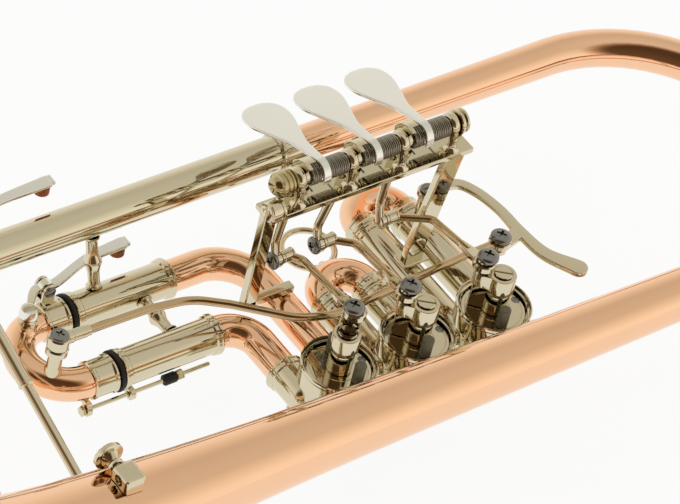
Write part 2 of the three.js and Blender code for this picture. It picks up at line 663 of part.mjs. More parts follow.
// Bell: tail, bow and flare in one tube.
function makeBell() {
  const middleY = (farPlace.y + bellPlace.y) / 2;
  const middleZ = (farPlace.z + bellPlace.z) / 2;
  const across = place(0, farPlace.y - middleY, farPlace.z - middleZ);
  const bowRadius = across.length();
  const stations = [];
  const outers = [];
  const bowStart = THREE.MathUtils.lerp(bell.tailRadius, bell.rimRadius * bowEndShare, bowStartShare);
  for (let i = 0; i < bellSteps.tail; i += 1) {
    const share = i / bellSteps.tail;
    const x = THREE.MathUtils.lerp(bell.tailX, bell.bowX, share);
    stations.push({ point: place(x, farPlace.y, farPlace.z), direction: place(1, 0, 0) });
    outers.push(THREE.MathUtils.lerp(bell.tailRadius, bowStart, share));
  }
  for (let i = 0; i <= bellSteps.bow; i += 1) {
    const share = i / bellSteps.bow;
    const turn = Math.PI * share;
    const point = place(bell.bowX + bowRadius * Math.sin(turn), middleY, middleZ);
    point.addScaledVector(across, Math.cos(turn));
    const direction = place(Math.cos(turn), 0, 0).addScaledVector(across, -Math.sin(turn) / bowRadius);
    stations.push({ point, direction });
    outers.push(THREE.MathUtils.lerp(bowStart, bell.rimRadius * bowEndShare, share));
  }
  flareShares.slice(1).forEach(([lengthShare, radiusShare]) => {
    const x = THREE.MathUtils.lerp(bell.bowX, bell.rimX, lengthShare);
    stations.push({ point: place(x, bellPlace.y, bellPlace.z), direction: place(-1, 0, 0) });
    outers.push(bell.rimRadius * radiusShare);
  });
  const inners = outers.map((radius) => radius - bell.wall);
  add('bell', taperedPipe(new Route(stations), outers, inners, bellSides), 'goldBrass');
}

// Main slide: two sleeves, a brace between them and the U that slides in them.
function makeMainSlide() {
  const farAt = (x) => place(x, farPlace.y, farPlace.z);
  const nearAt = (x) => place(x, leadPlace.y, leadPlace.z);
  const farLength = main.farRight - main.sleeveLeft;
  const socket = bell.tailRadius + seat;
  const lap = 2 * ferruleLength;
  const bellLap = bell.tailX + ferruleLength - main.farRight;
  add('main_sleeve_far', turned([
    [sleeveBore, 0], [ferruleRadius, 0], [ferruleRadius, ferruleLength], [sleeveRadius, ferruleLength],
    [sleeveRadius, farLength - lap], [ferruleRadius + seat, farLength - lap],
    [ferruleRadius + seat, farLength + bellLap], [socket, farLength + bellLap],
    [socket, farLength + bell.tailX - main.farRight - seat],
    [sleeveBore, farLength + bell.tailX - main.farRight - seat], [sleeveBore, 0],
  ], farAt(main.sleeveLeft), place(1, 0, 0)), 'nickel');
  const sleeveStart = valveX(valveCount) - valvePitch;
  const inlet = routeThrough(portRoute(valveCount, -1, sleeveStart));
  const stations = [...inlet.stations];
  const outers = stations.map(() => tubeRadius);
  const inners = stations.map(() => boreRadius);
  const along = place(-1, 0, 0);
  const widths = [
    [sleeveStart - seat, sleeveRadius, boreRadius], [sleeveStart - ferruleLength, sleeveRadius, sleeveBore],
    [main.sleeveLeft + ferruleLength + seat, sleeveRadius, sleeveBore],
    [main.sleeveLeft + ferruleLength, ferruleRadius, sleeveBore], [main.sleeveLeft, ferruleRadius, sleeveBore],
  ];
  widths.forEach(([x, outer, inner]) => {
    stations.push({ point: nearAt(x), direction: along });
    outers.push(outer);
    inners.push(inner);
  });
  const nearSleeve = taperedPipe(new Route(stations), outers, inners);
  add('main_sleeve_near', cut(nearSleeve, casingCylinder(valveCount, seat)), 'nickel');

  const reach = main.sleeveLeft + main.legLength;
  const slideRoute = routeThrough([
    { point: farAt(reach) }, { point: farAt(main.left), radius: main.bendRadius },
    { point: nearAt(main.left), radius: main.bendRadius }, { point: nearAt(reach) },
  ]);
  const bends = slideRoute.stations.slice(1, -1);
  const half = (at) => [
    [reach, legRadius], [main.sleeveLeft - seat, legRadius], [main.sleeveLeft - 2 * seat, sleeveRadius],
    [main.ferruleLeft, sleeveRadius], [main.ferruleLeft - seat, tubeRadius],
  ].map(([x, radius]) => ({ point: at(x), radius }));
  const left = half(farAt);
  const right = half(nearAt).reverse();
  const slideStations = [
    ...left.map(({ point }) => ({ point, direction: place(-1, 0, 0) })), ...bends,
    ...right.map(({ point }) => ({ point, direction: place(1, 0, 0) })),
  ];
  const slideOuters = [
    ...left.map(({ radius }) => radius), ...bends.map(() => tubeRadius), ...right.map(({ radius }) => radius),
  ];
  const slideInners = slideStations.map(() => legRadius - legWall);
  const tube = taperedPipe(new Route(slideStations), slideOuters, slideInners);
  const keyParts = keyMount(keySpots.main);
  const bore = pipe(new Route(slideStations), legRadius - legWall);
  add('main_slide', cut(join(tube, cut(keyParts.body, bore)), keyParts.hole), 'goldBrass');
  makeKey('water_key_main', keySpots.main);

  const far = farAt(braceX);
  const near = nearAt(braceX);
  const axis = near.clone().sub(far).normalize();
  const start = far.clone().addScaledVector(axis, sleeveRadius + seat);
  const length = far.distanceTo(near) - 2 * (sleeveRadius + seat);
  const step = length * brace.stepShare;
  const end = length - stay.collarLength;
  add('main_brace', turned([
    [0, 0], [brace.collar, 0], [brace.collar, stay.collarLength], [brace.thick, stay.collarLength],
    [brace.thick, step], [brace.thin, step], [brace.thin, end], [brace.collar, end], [brace.collar, length],
    [0, length],
  ], start, axis, smallSides), 'nickel');
}

// Where a crook's tube runs, a short way past the start of its bend, under a water key's cup.
function nippleFoot(spot) {
  const past = spot.bendStart - (spot.pivotX - key.cupReach);
  const inward = Math.max(spot.radius - Math.sqrt(spot.radius ** 2 - past ** 2), 0);
  return along(spot.tube, spot.pivotX - key.cupReach).addScaledVector(spot.across, inward);
}

const keyHub = (spot) => place(spot.pivotX, spot.tube.y + key.offset, spot.tube.z + key.level);

// The bracket with its pin and screw head, and the nipple of a water key, with the nipple's bore.
function keyMount(spot) {
  const hub = keyHub(spot);
  const half = bracket.width / 2;
  const inner = key.hubWidth / 2 + seat;
  const outer = inner + bracket.thickness;
  const atY = (y) => hub.clone().setY(y);
  const cheeks = [[hub.y - outer, hub.y - inner], [hub.y + inner, hub.y + outer]].map(([low, high]) => join(
    block(place(hub.x - half, low, spot.tube.z + bracket.bottom), place(hub.x + half, high, hub.z)),
    bar(atY(low), atY(high), half),
  ));
  const floor = block(
    place(hub.x - half, spot.tube.y, spot.tube.z + bracket.bottom),
    place(hub.x + half, hub.y + outer, spot.tube.z + bracket.top),
  );
  const axle = bar(atY(hub.y - outer), atY(hub.y + outer), key.pivot, smallSides);
  const head = bar(atY(hub.y - outer - bracket.headWidth), atY(hub.y - outer), bracket.headRadius, smallSides);
  const foot = nippleFoot(spot);
  const mouth = foot.clone().setZ(foot.z + tubeRadius + nipple.length);
  const nozzle = bar(foot, mouth, nipple.radius);
  const hole = bar(foot, mouth.clone().setZ(mouth.z + overrun), nipple.bore, smallSides);
  return { body: join(...cheeks, floor, axle, head, nozzle), hole };
}

// A water key: a strap with a hub on the pin, a cup over the nipple and a cork under its touch.
function makeKey(name, spot) {
  const hub = keyHub(spot);
  const foot = nippleFoot(spot);
  const touch = new THREE.Vector2(hub.x + spot.reach, hub.y + key.spread);
  const half = key.width / 2;
  const points = [
    new THREE.Vector2(foot.x, foot.y), new THREE.Vector2(hub.x - key.straight, hub.y),
    new THREE.Vector2(hub.x + key.straight, hub.y),
    new THREE.Vector2(hub.x + spot.reach * key.middleShare, hub.y + key.middleSpread), touch,
  ];
  const low = hub.z - key.thickness / 2;
  const widths = [half, half, half, half, key.touchWidth / 2];
  const lever = plateOf(strapOutline(points, widths), low, low + key.thickness);
  const barrelBody = bar(
    hub.clone().setY(hub.y - key.hubWidth / 2), hub.clone().setY(hub.y + key.hubWidth / 2), key.hub,
  );
  const hole = bar(
    hub.clone().setY(hub.y - key.hubWidth), hub.clone().setY(hub.y + key.hubWidth), key.pivot + seat, smallSides,
  );
  const cupBottom = foot.z + tubeRadius + nipple.length + seat;
  const cup = bar(foot.clone().setZ(cupBottom), foot.clone().setZ(low + key.thickness), key.cup);
  const cork = bar(
    place(touch.x - key.cork, touch.y, low - key.corkLength), place(touch.x - key.cork, touch.y, hub.z), key.cork,
    smallSides,
  );
  add(name, cut(join(lever, barrelBody, cup, cork), hole), 'paleNickel');
}

// A slide with two parallel legs along Y and a half circle between them.
function makeValveSlide(name, n, sizes, extra) {
  const inside = sizes.sleeveEnd - sizes.legLength;
  const at = (side) => (y) => portLine(n, side, y);
  const half = (spot) => [
    [inside, legRadius], [sizes.sleeveEnd + seat, legRadius], [sizes.sleeveEnd + 2 * seat, sleeveRadius],
    [sizes.ferruleEnd, sleeveRadius], [sizes.ferruleEnd + seat, tubeRadius],
  ].map(([y, radius]) => ({ point: spot(y), radius }));
  const left = half(at(-1));
  const right = half(at(1)).reverse();
  const centre = place(valveX(n), sizes.ferruleEnd + seat, 0);
  const count = Math.round(Math.PI / bendStep);
  const bend = Array.from({ length: count - 1 }, (unused, k) => {
    const turn = (Math.PI * (k + 1)) / count;
    return {
      point: place(centre.x - portOffset * Math.cos(turn), centre.y + portOffset * Math.sin(turn), 0),
      direction: place(Math.sin(turn), Math.cos(turn), 0),
    };
  });
  const stations = [
    ...left.map(({ point }) => ({ point, direction: place(0, 1, 0) })), ...bend,
    ...right.map(({ point }) => ({ point, direction: place(0, -1, 0) })),
  ];
  const outers = [
    ...left.map(({ radius }) => radius), ...bend.map(() => tubeRadius), ...right.map(({ radius }) => radius),
  ];
  const inners = stations.map(() => legRadius - legWall);
  const tube = taperedPipe(new Route(stations), outers, inners);
  const apex = centre.y + portOffset + tubeRadius;
  add(name, extra ? join(tube, extra(apex)) : tube, 'goldBrass');
}

// The finger ring at the end of the second slide.
function pullRingAt(apex) {
  const centreY = apex + pullRing.radius - pullRing.wire / 2;
  const wire = new THREE.TorusGeometry(pullRing.radius, pullRing.wire, wireSides, pullRing.sides);
  return toSolid(wire.translate(valveX(2), centreY, 0));
}

// The fixed tubes from the third valve to the sleeves of its slide, and the sleeves themselves.
function makeThirdTubes() {
  const tubes = [
    { letter: 'a', side: 1, legPlace: legPlaceA, radius: third.rearBend },
    { letter: 'b', side: -1, legPlace: legPlaceB, radius: third.frontBend },
  ];
  const sleeveLength = third.sleeveRight - third.sleeveLeft;
  tubes.forEach(({ letter, side, legPlace, radius }) => {
    const start = portLine(valveCount, side, third.portEnd + seat);
    const route = routeThrough([
      { point: start }, { point: start.clone().setY(legPlace.y), radius },
      { point: place(third.sleeveRight + seat, legPlace.y, legPlace.z) },
    ]);
    add(`third_tube_${letter}`, pipe(route, tubeRadius, boreRadius), 'goldBrass');
    const sleeve = turned([
      [sleeveBore, 0], [ferruleRadius, 0], [ferruleRadius, ferruleLength], [sleeveRadius, ferruleLength],
      [sleeveRadius, sleeveLength - ferruleLength], [ferruleRadius, sleeveLength - ferruleLength],
      [ferruleRadius, sleeveLength], [sleeveBore, sleeveLength], [sleeveBore, 0],
    ], place(third.sleeveLeft, legPlace.y, legPlace.z), place(1, 0, 0), tubeSides);
    add(`third_sleeve_${letter}`, letter === 'b' ? withStopLug(sleeve) : sleeve, 'nickel');
  });
}

const stopPoint = (x) => place(x, stopRod.y, stopRod.z);

// The fixed lug that the stop rod passes through, under the front sleeve.
function withStopLug(sleeve) {
  const left = third.sleeveLeft + ferruleLength;
  const right = left + stopRod.lugWidth;
  const lug = bar(stopPoint(left), stopPoint(right), stopRod.lugRadius, smallSides);
  const web = block(
    place(left, stopRod.y - stopRod.radius, stopRod.z),
    place(right, legPlaceB.y, legPlaceB.z - sleeveBore),
  );
  const hole = bar(stopPoint(left - overrun), stopPoint(right + overrun), stopRod.radius + seat, smallSides);
  const bore = bar(
    place(left - overrun, legPlaceB.y, legPlaceB.z), place(right + overrun, legPlaceB.y, legPlaceB.z), sleeveBore,
  );
  return cut(join(sleeve, cut(join(lug, web), bore)), hole);
}

// The third slide: U tube with its ferrules, trigger post, stop lug and water key bracket.
function makeThirdSlide() {
  const inside = third.sleeveRight - third.legRoom;
  const half = (legPlace) => [
    [inside, legRadius], [third.sleeveLeft - rubber.width - 2 * seat, legRadius],
    [third.sleeveLeft - rubber.width - 3 * seat, sleeveRadius], [third.ferruleLeft, sleeveRadius],
    [third.ferruleLeft - seat, tubeRadius],
  ].map(([x, radius]) => ({ point: place(x, legPlace.y, legPlace.z), radius }));
  const back = half(legPlaceA);
  const front = half(legPlaceB).reverse();
  const crookRadius = (legPlaceA.y - legPlaceB.y) / 2;
  const centre = place(third.ferruleLeft - seat, legPlaceB.y + crookRadius, 0);
  const count = Math.round(Math.PI / bendStep);
  const bend = Array.from({ length: count - 1 }, (unused, k) => {
    const turn = (Math.PI * (k + 1)) / count;
    return {
      point: place(centre.x - crookRadius * Math.sin(turn), centre.y + crookRadius * Math.cos(turn), 0),
      direction: place(-Math.cos(turn), -Math.sin(turn), 0),
    };
  });
  const stations = [
    ...back.map(({ point }) => ({ point, direction: place(-1, 0, 0) })), ...bend,
    ...front.map(({ point }) => ({ point, direction: place(1, 0, 0) })),
  ];
  const outers = [
    ...back.map(({ radius }) => radius), ...bend.map(() => tubeRadius), ...front.map(({ radius }) => radius),
  ];
  const inners = stations.map(() => legRadius - legWall);
  const tube = taperedPipe(new Route(stations), outers, inners);
  const postTurn = Math.PI * postShare;
  const postFoot = place(
    centre.x - crookRadius * Math.sin(postTurn), centre.y + crookRadius * Math.cos(postTurn), 0,
  );
  const shoulder = tubeRadius + post.shoulder;
  const postTop = rodLevel - post.drop;
  const column = turned([
    [0, 0], [post.radius, 0], [post.radius, shoulder], [post.neckRadius, shoulder + post.taper],
    [post.neckRadius, postTop - post.lip], [post.lipRadius, postTop - post.lip], [post.lipRadius, postTop],
    [0, postTop],
  ], postFoot, place(0, 0, 1), smallSides);
  const lug = join(
    bar(stopPoint(stopRod.left), stopPoint(stopRod.left + stopRod.lugWidth), stopRod.lugRadius, smallSides),
    block(
      place(stopRod.left, stopRod.y - stopRod.radius, stopRod.z),
      place(stopRod.left + stopRod.lugWidth, legPlaceB.y, legPlaceB.z),
    ),
  );
  const keyParts = keyMount(keySpots.third);
  const bore = pipe(new Route(stations), legRadius - legWall);
  const lugHole = bar(
    stopPoint(stopRod.left - overrun), stopPoint(stopRod.left + stopRod.lugWidth + overrun),
    stopRod.radius + seat, smallSides,
  );
  const fittings = cut(join(column, lug, keyParts.body), bore, lugHole);
  add('third_slide', cut(join(tube, fittings), keyParts.hole), 'goldBrass');
  makeKey('water_key_third', keySpots.third);

  [['a', legPlaceA], ['b', legPlaceB]].forEach(([letter, legPlace]) => {
    const inner = legRadius + seat;
    const outer = sleeveRadius + rubber.rise;
    add(`third_rubber_${letter}`, turned([
      [inner, 0], [outer, 0], [outer, rubber.width], [inner, rubber.width], [inner, 0],
    ], place(third.sleeveLeft - seat - rubber.width, legPlace.y, legPlace.z), place(1, 0, 0), tubeSides), 'rubber');
  });

  const nut = bar(stopPoint(bumperNut.left), stopPoint(bumperNut.right), bumperNut.radius, smallSides);
  add('third_stop_rod', join(
    bar(stopPoint(stopRod.left - overrun), stopPoint(stopRod.right), stopRod.radius, smallSides), nut,
    bar(
      stopPoint(stopRod.left - stopRod.headLength), stopPoint(stopRod.left - seat),
      stopRod.headRadius, smallSides,
    ),
  ), 'nickel');
  makeTriggerRod(postFoot);
}

// The long rod from the trigger lever to the post on the third slide.
function makeTriggerRod(postFoot) {
  const ball = place(trigger.ballX, trigger.ballY, rodLevel);
  const end = postFoot.clone().setZ(rodLevel);
  const onWay = ([alongX, alongY]) => place(
    THREE.MathUtils.lerp(ball.x, end.x, alongX), THREE.MathUtils.lerp(ball.y, end.y, alongY), rodLevel,
  );
  const bends = rodShares.map(onWay);
  const corners = [
    { point: ball.clone().setX(ball.x - (joint.eyeInner + joint.eyeRadius) / 2) },
    ...bends.map((point) => ({ point, radius: rodBend })),
    { point: end },
  ];
  const rod = pipe(routeThrough(corners), rodRadius, 0, wireSides);
  const eyeLow = rodLevel - joint.eyeHeight / 2 + seat;
  const eyeHigh = rodLevel + joint.eyeHeight / 2 - seat;
  const eye = bar(ball.clone().setZ(eyeLow), ball.clone().setZ(eyeHigh), joint.eyeRadius);
  const hole = bar(ball.clone().setZ(eyeLow - overrun), ball.clone().setZ(eyeHigh + overrun), joint.eyeInner);
  const socketEnd = end.clone().lerp(bends.at(-1), rodEnd.socketShare);
  const socket = bar(end, socketEnd, rodEnd.socketRadius, smallSides);
  const capBottom = rodLevel - post.drop + seat;
  const capTop = rodLevel + rodEnd.capRise;
  const cap = turned([
    [0, capBottom], [joint.headRadius, capBottom], [joint.headRadius, capTop],
    [joint.headRadius * joint.crownShare, capTop + rodEnd.crown], [0, capTop + rodEnd.crown],
  ], end.clone().setZ(0), place(0, 0, 1), smallSides);
  add('trigger_rod', cut(join(rod, eye, socket, cap), hole), 'brass');
}

// The trigger lever: a bent strap with its hub, a branch to the ball, and the ball's stud and head.
function makeTriggerLever() {
  const low = trigger.bottom;
  const high = low + trigger.thickness;
  const points = leverShares.map(([alongX, alongY]) => (
    new THREE.Vector2(trigger.pivotX + lever.reachX * alongX, trigger.pivotY - lever.reachY * alongY)
  ));
  const widths = leverWidthShares.map((share) => lever.halfWidth * share);
  const strap = plateOf(strapOutline(points, widths), low, high);
  const pivot = (z) => place(trigger.pivotX, trigger.pivotY, z);
  const hub = bar(pivot(low), pivot(high), trigger.hubRadius);
  const hole = bar(pivot(low - overrun), pivot(high + overrun), pillar.pin + seat);
  const ball = place(trigger.ballX, trigger.ballY, high);
  const tip = new THREE.Vector2(ball.x, ball.y);
  const root = points[leverShares.findIndex(([, alongY]) => alongY > branchShare)];
  const branch = plateOf(strapOutline([root, tip], [lever.branchRoot, lever.branchTip]), low, high);
  const pad = bar(ball.clone().setZ(low), ball, trigger.padRadius);
  const eyeHigh = rodLevel + joint.eyeHeight / 2 - seat;
  const head = studAndHead(ball, place(0, 0, 1), eyeHigh + 2 * seat - high);
  add('trigger_lever', cut(join(strap, hub, branch, pad, head), hole), 'nickel');
}

// The pillar on the first slide's outer sleeve that the trigger lever turns on.
function makeTriggerBracket() {
  const x = portLine(1, 1, 0).x;
  const saddleLow = sleeveRadius + seat;
  const saddle = block(
    place(x - pillar.saddleLeft, trigger.pivotY - pillar.saddleFront, saddleLow),
    place(x + pillar.saddleRight, trigger.pivotY + pillar.saddleBack, saddleLow + pillar.saddle),
  );
  const foot = ferruleRadius + seat;
  const pinLow = trigger.bottom - seat;
  const pinHigh = trigger.bottom + trigger.thickness + seat;
  const top = trigger.bottom + trigger.thickness + pillar.cap;
  const column = turned([
    [0, foot], [pillar.radius, foot], [pillar.radius, pinLow], [pillar.pin, pinLow], [pillar.pin, pinHigh],
    [pillar.radius, pinHigh], [pillar.radius, top], [0, top],
  ], place(trigger.pivotX, trigger.pivotY, 0), place(0, 0, 1), smallSides);
  add('trigger_bracket', join(saddle, column), 'nickel');
}

const bearingX = (k) => firstBearing + k * bearingPitch;
const hingePoint = (x) => place(x, hinge.y, hinge.z);
const barrelInner = hinge.rodRadius + barrel.clearance;
const barrelRadius = barrelInner + barrel.wall;

// The frame: base bar, four hinge bearings on posts, and two legs down to the tubes.
function makeFrame() {
  const slots = [];
  for (let n = 1; n <= valveCount; n += 1) {
    const side = barrelSpan(n).left;
    slots.push(block(
      place(side - base.clearance, base.back, base.bottom - overrun),
      place(side + 2 * arm.radius + base.clearance, base.rear + overrun, base.top + overrun),
    ));
  }
  const parts = [cut(
    block(place(base.left, base.front, base.bottom), place(base.right, base.rear, base.top)), ...slots,
  )];
  for (let k = 0; k <= valveCount; k += 1) {
    const low = bearingX(k) - hinge.bearingWidth / 2;
    const high = bearingX(k) + hinge.bearingWidth / 2;
    parts.push(bar(hingePoint(low), hingePoint(high), hinge.bearingRadius));
    parts.push(block(place(low, postFront, base.top - overrun), place(high, base.back, hinge.z)));
  }
  const left = leftLeg;
  const leftFoot = tubeRadius + seat;
  const half = place(left.width, left.depth, 0).multiplyScalar(0.5);
  parts.push(block(
    place(left.x, left.y, leftFoot).sub(half), place(left.x, left.y, base.bottom + overrun).add(half),
  ));
  const footX = portLine(3, 1, 0).x;
  parts.push(block(
    place(left.x, left.y, leftFoot).sub(half), place(footX, left.y, leftFoot + foot.height).add(half),
  ));
  const rightFoot = place(rightLeg.footX, rightLeg.footY, sleeveRadius + seat);
  const rightKnee = rightFoot.clone().setZ(rightFoot.z + rightLeg.footRise);
  const rightTop = place(rightLeg.topX, rightLeg.topY, base.bottom + overrun);
  parts.push(strut(rightTop, rightKnee, rightLeg.width, rightLeg.depth));
  parts.push(strut(rightKnee, rightFoot, rightLeg.width, rightLeg.depth));
  parts.push(bar(rightKnee.clone().setY(rightKnee.y - rightLeg.depth / 2),
    rightKnee.clone().setY(rightKnee.y + rightLeg.depth / 2), rightLeg.width / 2));
  const footHalf = place(foot.length, foot.width, 0).multiplyScalar(0.5);
  const footTop = rightFoot.clone().setZ(rightFoot.z + foot.height);
  parts.push(block(rightFoot.clone().sub(footHalf), footTop.add(footHalf)));
  const screw = place(
    base.left - frameScrew.lap, base.back - frameScrew.radius, base.top + frameScrew.radius - frameScrew.lap,
  );
  parts.push(bar(screw, screw.clone().setX(screw.x + frameScrew.length), frameScrew.radius, smallSides));
  const rodHole = bar(
    hingePoint(bearingX(0) - hinge.bearingWidth), hingePoint(bearingX(valveCount) + hinge.bearingWidth),
    hinge.rodRadius + seat, smallSides,
  );
  add('paddle_frame', cut(join(...parts), rodHole), 'nickel');
}

// A flat bar of rectangular section between two points: its width has no part along Y.
function strut(from, to, width, depth) {
  const axis = to.clone().sub(from);
  const section = new THREE.BoxGeometry(width, depth, axis.length());
  axis.normalize();
  const across = place(0, 1, 0).cross(axis).normalize();
  const turn = new THREE.Matrix4().makeBasis(across, axis.clone().cross(across), axis);
  const middle = from.clone().add(to).multiplyScalar(0.5);
  return toSolid(section.applyMatrix4(turn).translate(middle.x, middle.y, middle.z));
}

// The hinge rod with its domed nut on the left and its grooved disc on the right.
function makeHingeRod() {
  const left = bearingX(0) - hinge.bearingWidth / 2 - seat;
  const length = bearingX(valveCount) + hinge.bearingWidth / 2 + seat - left;
  const grooves = discShares.map(([radius, height]) => [discRadius * radius, length + discRadius * height]);
  add('hinge_rod', turned([
    [0, -dome.length], [dome.crown, -dome.length], [dome.radius, -dome.length / 2], [dome.radius, 0],
    [hinge.rodRadius, 0], [hinge.rodRadius, length], ...grooves,
  ], hingePoint(left), place(1, 0, 0), tubeSides), 'nickel');
}

// Where a paddle's barrel begins and ends between its bearings, and the middle of its blade.
function barrelSpan(n) {
  const left = bearingX(valveCount - n) + hinge.bearingWidth / 2 + seat;
  const right = bearingX(valveCount - n + 1) - hinge.bearingWidth / 2 - seat;
  return { left, right, middle: (left + cheek.width + right) / 2 - blade.shift };
}

const pinPlace = (n) => pinShares[n - 1] * valvePitch;

// One finger paddle: barrel on the hinge rod, blade, spring cheek and lower arm with its pin.
function makePaddle(n) {
  const { left, right, middle } = barrelSpan(n);
  const tube = bar(hingePoint(left), hingePoint(right), barrelRadius);
  const hole = bar(hingePoint(left - overrun), hingePoint(right + overrun), barrelInner);
  const edge = (sign) => bladeShares.map(([lengthShare, widthShare]) => (
    new THREE.Vector2(sign * blade.halfWidth * widthShare, blade.length * lengthShare)
  ));
  const leaf = plateOf([...edge(1), ...edge(-1).reverse()], blade.lift - blade.thickness, blade.lift)
    .rotate([-blade.angle, 0, 0]).translate([middle, hinge.y, hinge.z]);
  const neck = block(
    place(middle - blade.neckWidth / 2, hinge.y - blade.neckWidth / 2, hinge.z + barrelInner + seat),
    place(middle + blade.neckWidth / 2, hinge.y + barrelRadius, hinge.z + blade.lift - blade.thickness / 2),
  );
  const disk = bar(hingePoint(left), hingePoint(left + cheek.width), cheek.radius);
  const end = place(pinPlace(n), pin.y, pin.z);
  const armX = left + arm.radius;
  const face = end.x + pin.plateWidth / 2;
  const lowEnd = end.clone().setX(face - arm.radius);
  const lower = pipe(routeThrough([
    { point: place(armX, arm.outY, hinge.z) },
    { point: place(armX, arm.backY, arm.backZ), radius: arm.bendRadius },
    { point: place(lowEnd.x, arm.kneeY, arm.kneeZ), radius: arm.bendRadius },
    { point: lowEnd },
  ]), arm.radius, 0, wireSides);
  const eye = bar(end.clone().setX(end.x - pin.plateWidth / 2), end.clone().setX(face), pin.plate);
  const axle = bar(end, end.clone().setX(face + pin.length), pin.radius, smallSides);
  const solids = [tube, leaf, neck, disk, lower, eye, axle];
  if (pinHeads[n - 1]) {
    solids.push(bar(end.clone().setX(end.x - pin.plateWidth / 2 - pin.headWidth), end, pin.headRadius));
  }
  add(`paddle_${n}`, cut(join(...solids), hole), 'paleNickel');
}

// One link rod: collar on the paddle's pin, bent rod, and eye round the stop arm's stud.
function makeLinkRod(n) {
  const stud = ballPlace(n);
  const eye = place(valveX(n) + stud.x + Math.sign(stud.x) * eyeShift, stud.y, eyeLevel);
  const start = place(pinPlace(n) + pin.plateWidth / 2 + seat, pin.y, pin.z);
  const collarEnd = start.clone().setX(start.x + link.collarLength);
  const [alongX, alongY] = linkShares[n - 1].map((share) => share * valvePitch);
  const slope = (eyeLevel - pin.z) / (pin.y - eye.y);
  const bend = place(pinPlace(n) + alongX, pin.y + alongY, pin.z - slope * alongY);
  const back = bend.clone().sub(eye).normalize();
  const rodEnd = eye.clone().addScaledVector(back, (joint.eyeInner + joint.eyeRadius) / 2);
  const rod = pipe(routeThrough([
    { point: collarEnd.clone().setX(collarEnd.x - link.radius) }, { point: bend, radius: link.bendRadius },
    { point: rodEnd },
  ]), link.radius, 0, wireSides);
  const collar = bar(start, collarEnd, link.collar);
  const grip = bar(rodEnd, eye.clone().addScaledVector(back, link.gripLength), link.grip, smallSides);
  const half = joint.eyeHeight / 2;
  const ringBody = bar(eye.clone().setZ(eyeLevel - half), eye.clone().setZ(eyeLevel + half), joint.eyeRadius);
  const ringHole = bar(
    eye.clone().setZ(eyeLevel - half - overrun), eye.clone().setZ(eyeLevel + half + overrun), joint.eyeInner,
  );
  const pinHole = bar(
    start.clone().setX(start.x - overrun), start.clone().setX(start.x + pin.length), pin.radius + seat, smallSides,
  );
  add(`link_rod_${n}`, cut(join(rod, collar, grip, ringBody), ringHole, pinHole), 'brass');
}

// A paddle spring: two coils on the barrel, one each side of the blade's neck, in one wire.
function makeSpring(n) {
  const { left, right } = barrelSpan(n);
  const total = coil.curls * coil.steps;
  const bridge = coil.curlsLeft * coil.steps;
  const from = left + cheek.width + coil.wire + seat;
  const to = right - coil.wire - seat;
  const wound = ((total - coil.bridgeSteps) * coil.pitch) / coil.steps;
  const bridgeStep = (to - from - wound) / coil.bridgeSteps;
  const inBridge = (i) => i >= bridge - coil.bridgeSteps / 2 && i < bridge + coil.bridgeSteps / 2;
  const onCoil = (x, turn) => hingePoint(x).add(
    place(0, coil.radius * Math.sin(turn), -coil.radius * Math.cos(turn)),
  );
  const points = [];
  let x = from;
  for (let i = 0; i <= total; i += 1) {
    points.push(onCoil(x, (2 * Math.PI * i) / coil.steps));
    x += inBridge(i) ? bridgeStep : coil.pitch / coil.steps;
  }
  const first = points[0].clone().setY(hinge.y - coil.endLength);
  const last = points.at(-1).clone().setY(hinge.y + coil.endLength);
  const all = [first, ...points, last];
  const stations = all.map((point, i) => {
    const before = all[Math.max(i - 1, 0)];
    const after = all[Math.min(i + 1, all.length - 1)];
    return { point, direction: after.clone().sub(before).normalize() };
  });
  add(`paddle_spring_${n}`, pipe(new Route(stations), coil.wire, 0, coil.sides), 'darkSteel');
  return leastGap(all);
}

// The least gap between points of a wire that lie more than half a curl apart along it.
function leastGap(points) {
  let least = Infinity;
  for (let i = 0; i < points.length; i += 1) {
    for (let j = i + coil.steps / 2; j < points.length; j += 1) {
      least = Math.min(least, points[i].distanceTo(points[j]) - 2 * coil.wire);
    }
  }
  return least;
}

// The outside of the straight part of the bell with some room round it, for pieces that sit on it.
function flareSolid(room) {
  const length = bell.bowX - bell.rimX;
  const outline = flareShares.map(([lengthShare, radiusShare]) => (
    [bell.rimRadius * radiusShare + room, length * lengthShare]
  ));
  return turned([[0, 0], ...outline, [0, length]], place(bell.bowX, bellPlace.y, bellPlace.z), place(-1, 0, 0));
}

// Lyre holder: a socket on the bell with its bore along the bell, and a thumb screw from the side.
function makeLyre() {
  const half = lyre.length / 2;
  const crown = bellPlace.z + bellRadius(lyre.x);
  const boreZ = crown + lyre.boreRise;
  const body = block(
    place(lyre.x - half, lyre.front, crown - lyre.sink),
    place(lyre.x + half, lyre.back, crown + lyre.rise),
  );
  const middleY = (lyre.front + lyre.back) / 2;
  const bore = bar(
    place(lyre.x - half - overrun, middleY, boreZ), place(lyre.x + half + overrun, middleY, boreZ),
    lyre.bore, smallSides,
  );
  const screwHole = bar(
    place(lyreScrew.x, middleY, boreZ), place(lyreScrew.x, lyre.back + overrun, boreZ),
    lyreScrew.shank + seat, smallSides,
  );
  add('lyre_socket', cut(body, flareSolid(seat), bore, screwHole), 'nickel');
  add('lyre_screw', turned([
    [0, 0], [lyreScrew.shank, 0], [lyreScrew.shank, lyreScrew.collarStart],
    [lyreScrew.collar, lyreScrew.collarStart], [lyreScrew.grip, lyreScrew.discStart],
    [lyreScrew.discRadius, lyreScrew.discStart], [lyreScrew.discRadius, lyreScrew.discEnd],
    [0, lyreScrew.discEnd],
  ], place(lyreScrew.x, middleY, boreZ), place(0, 1, 0), tubeSides), 'nickel');
}

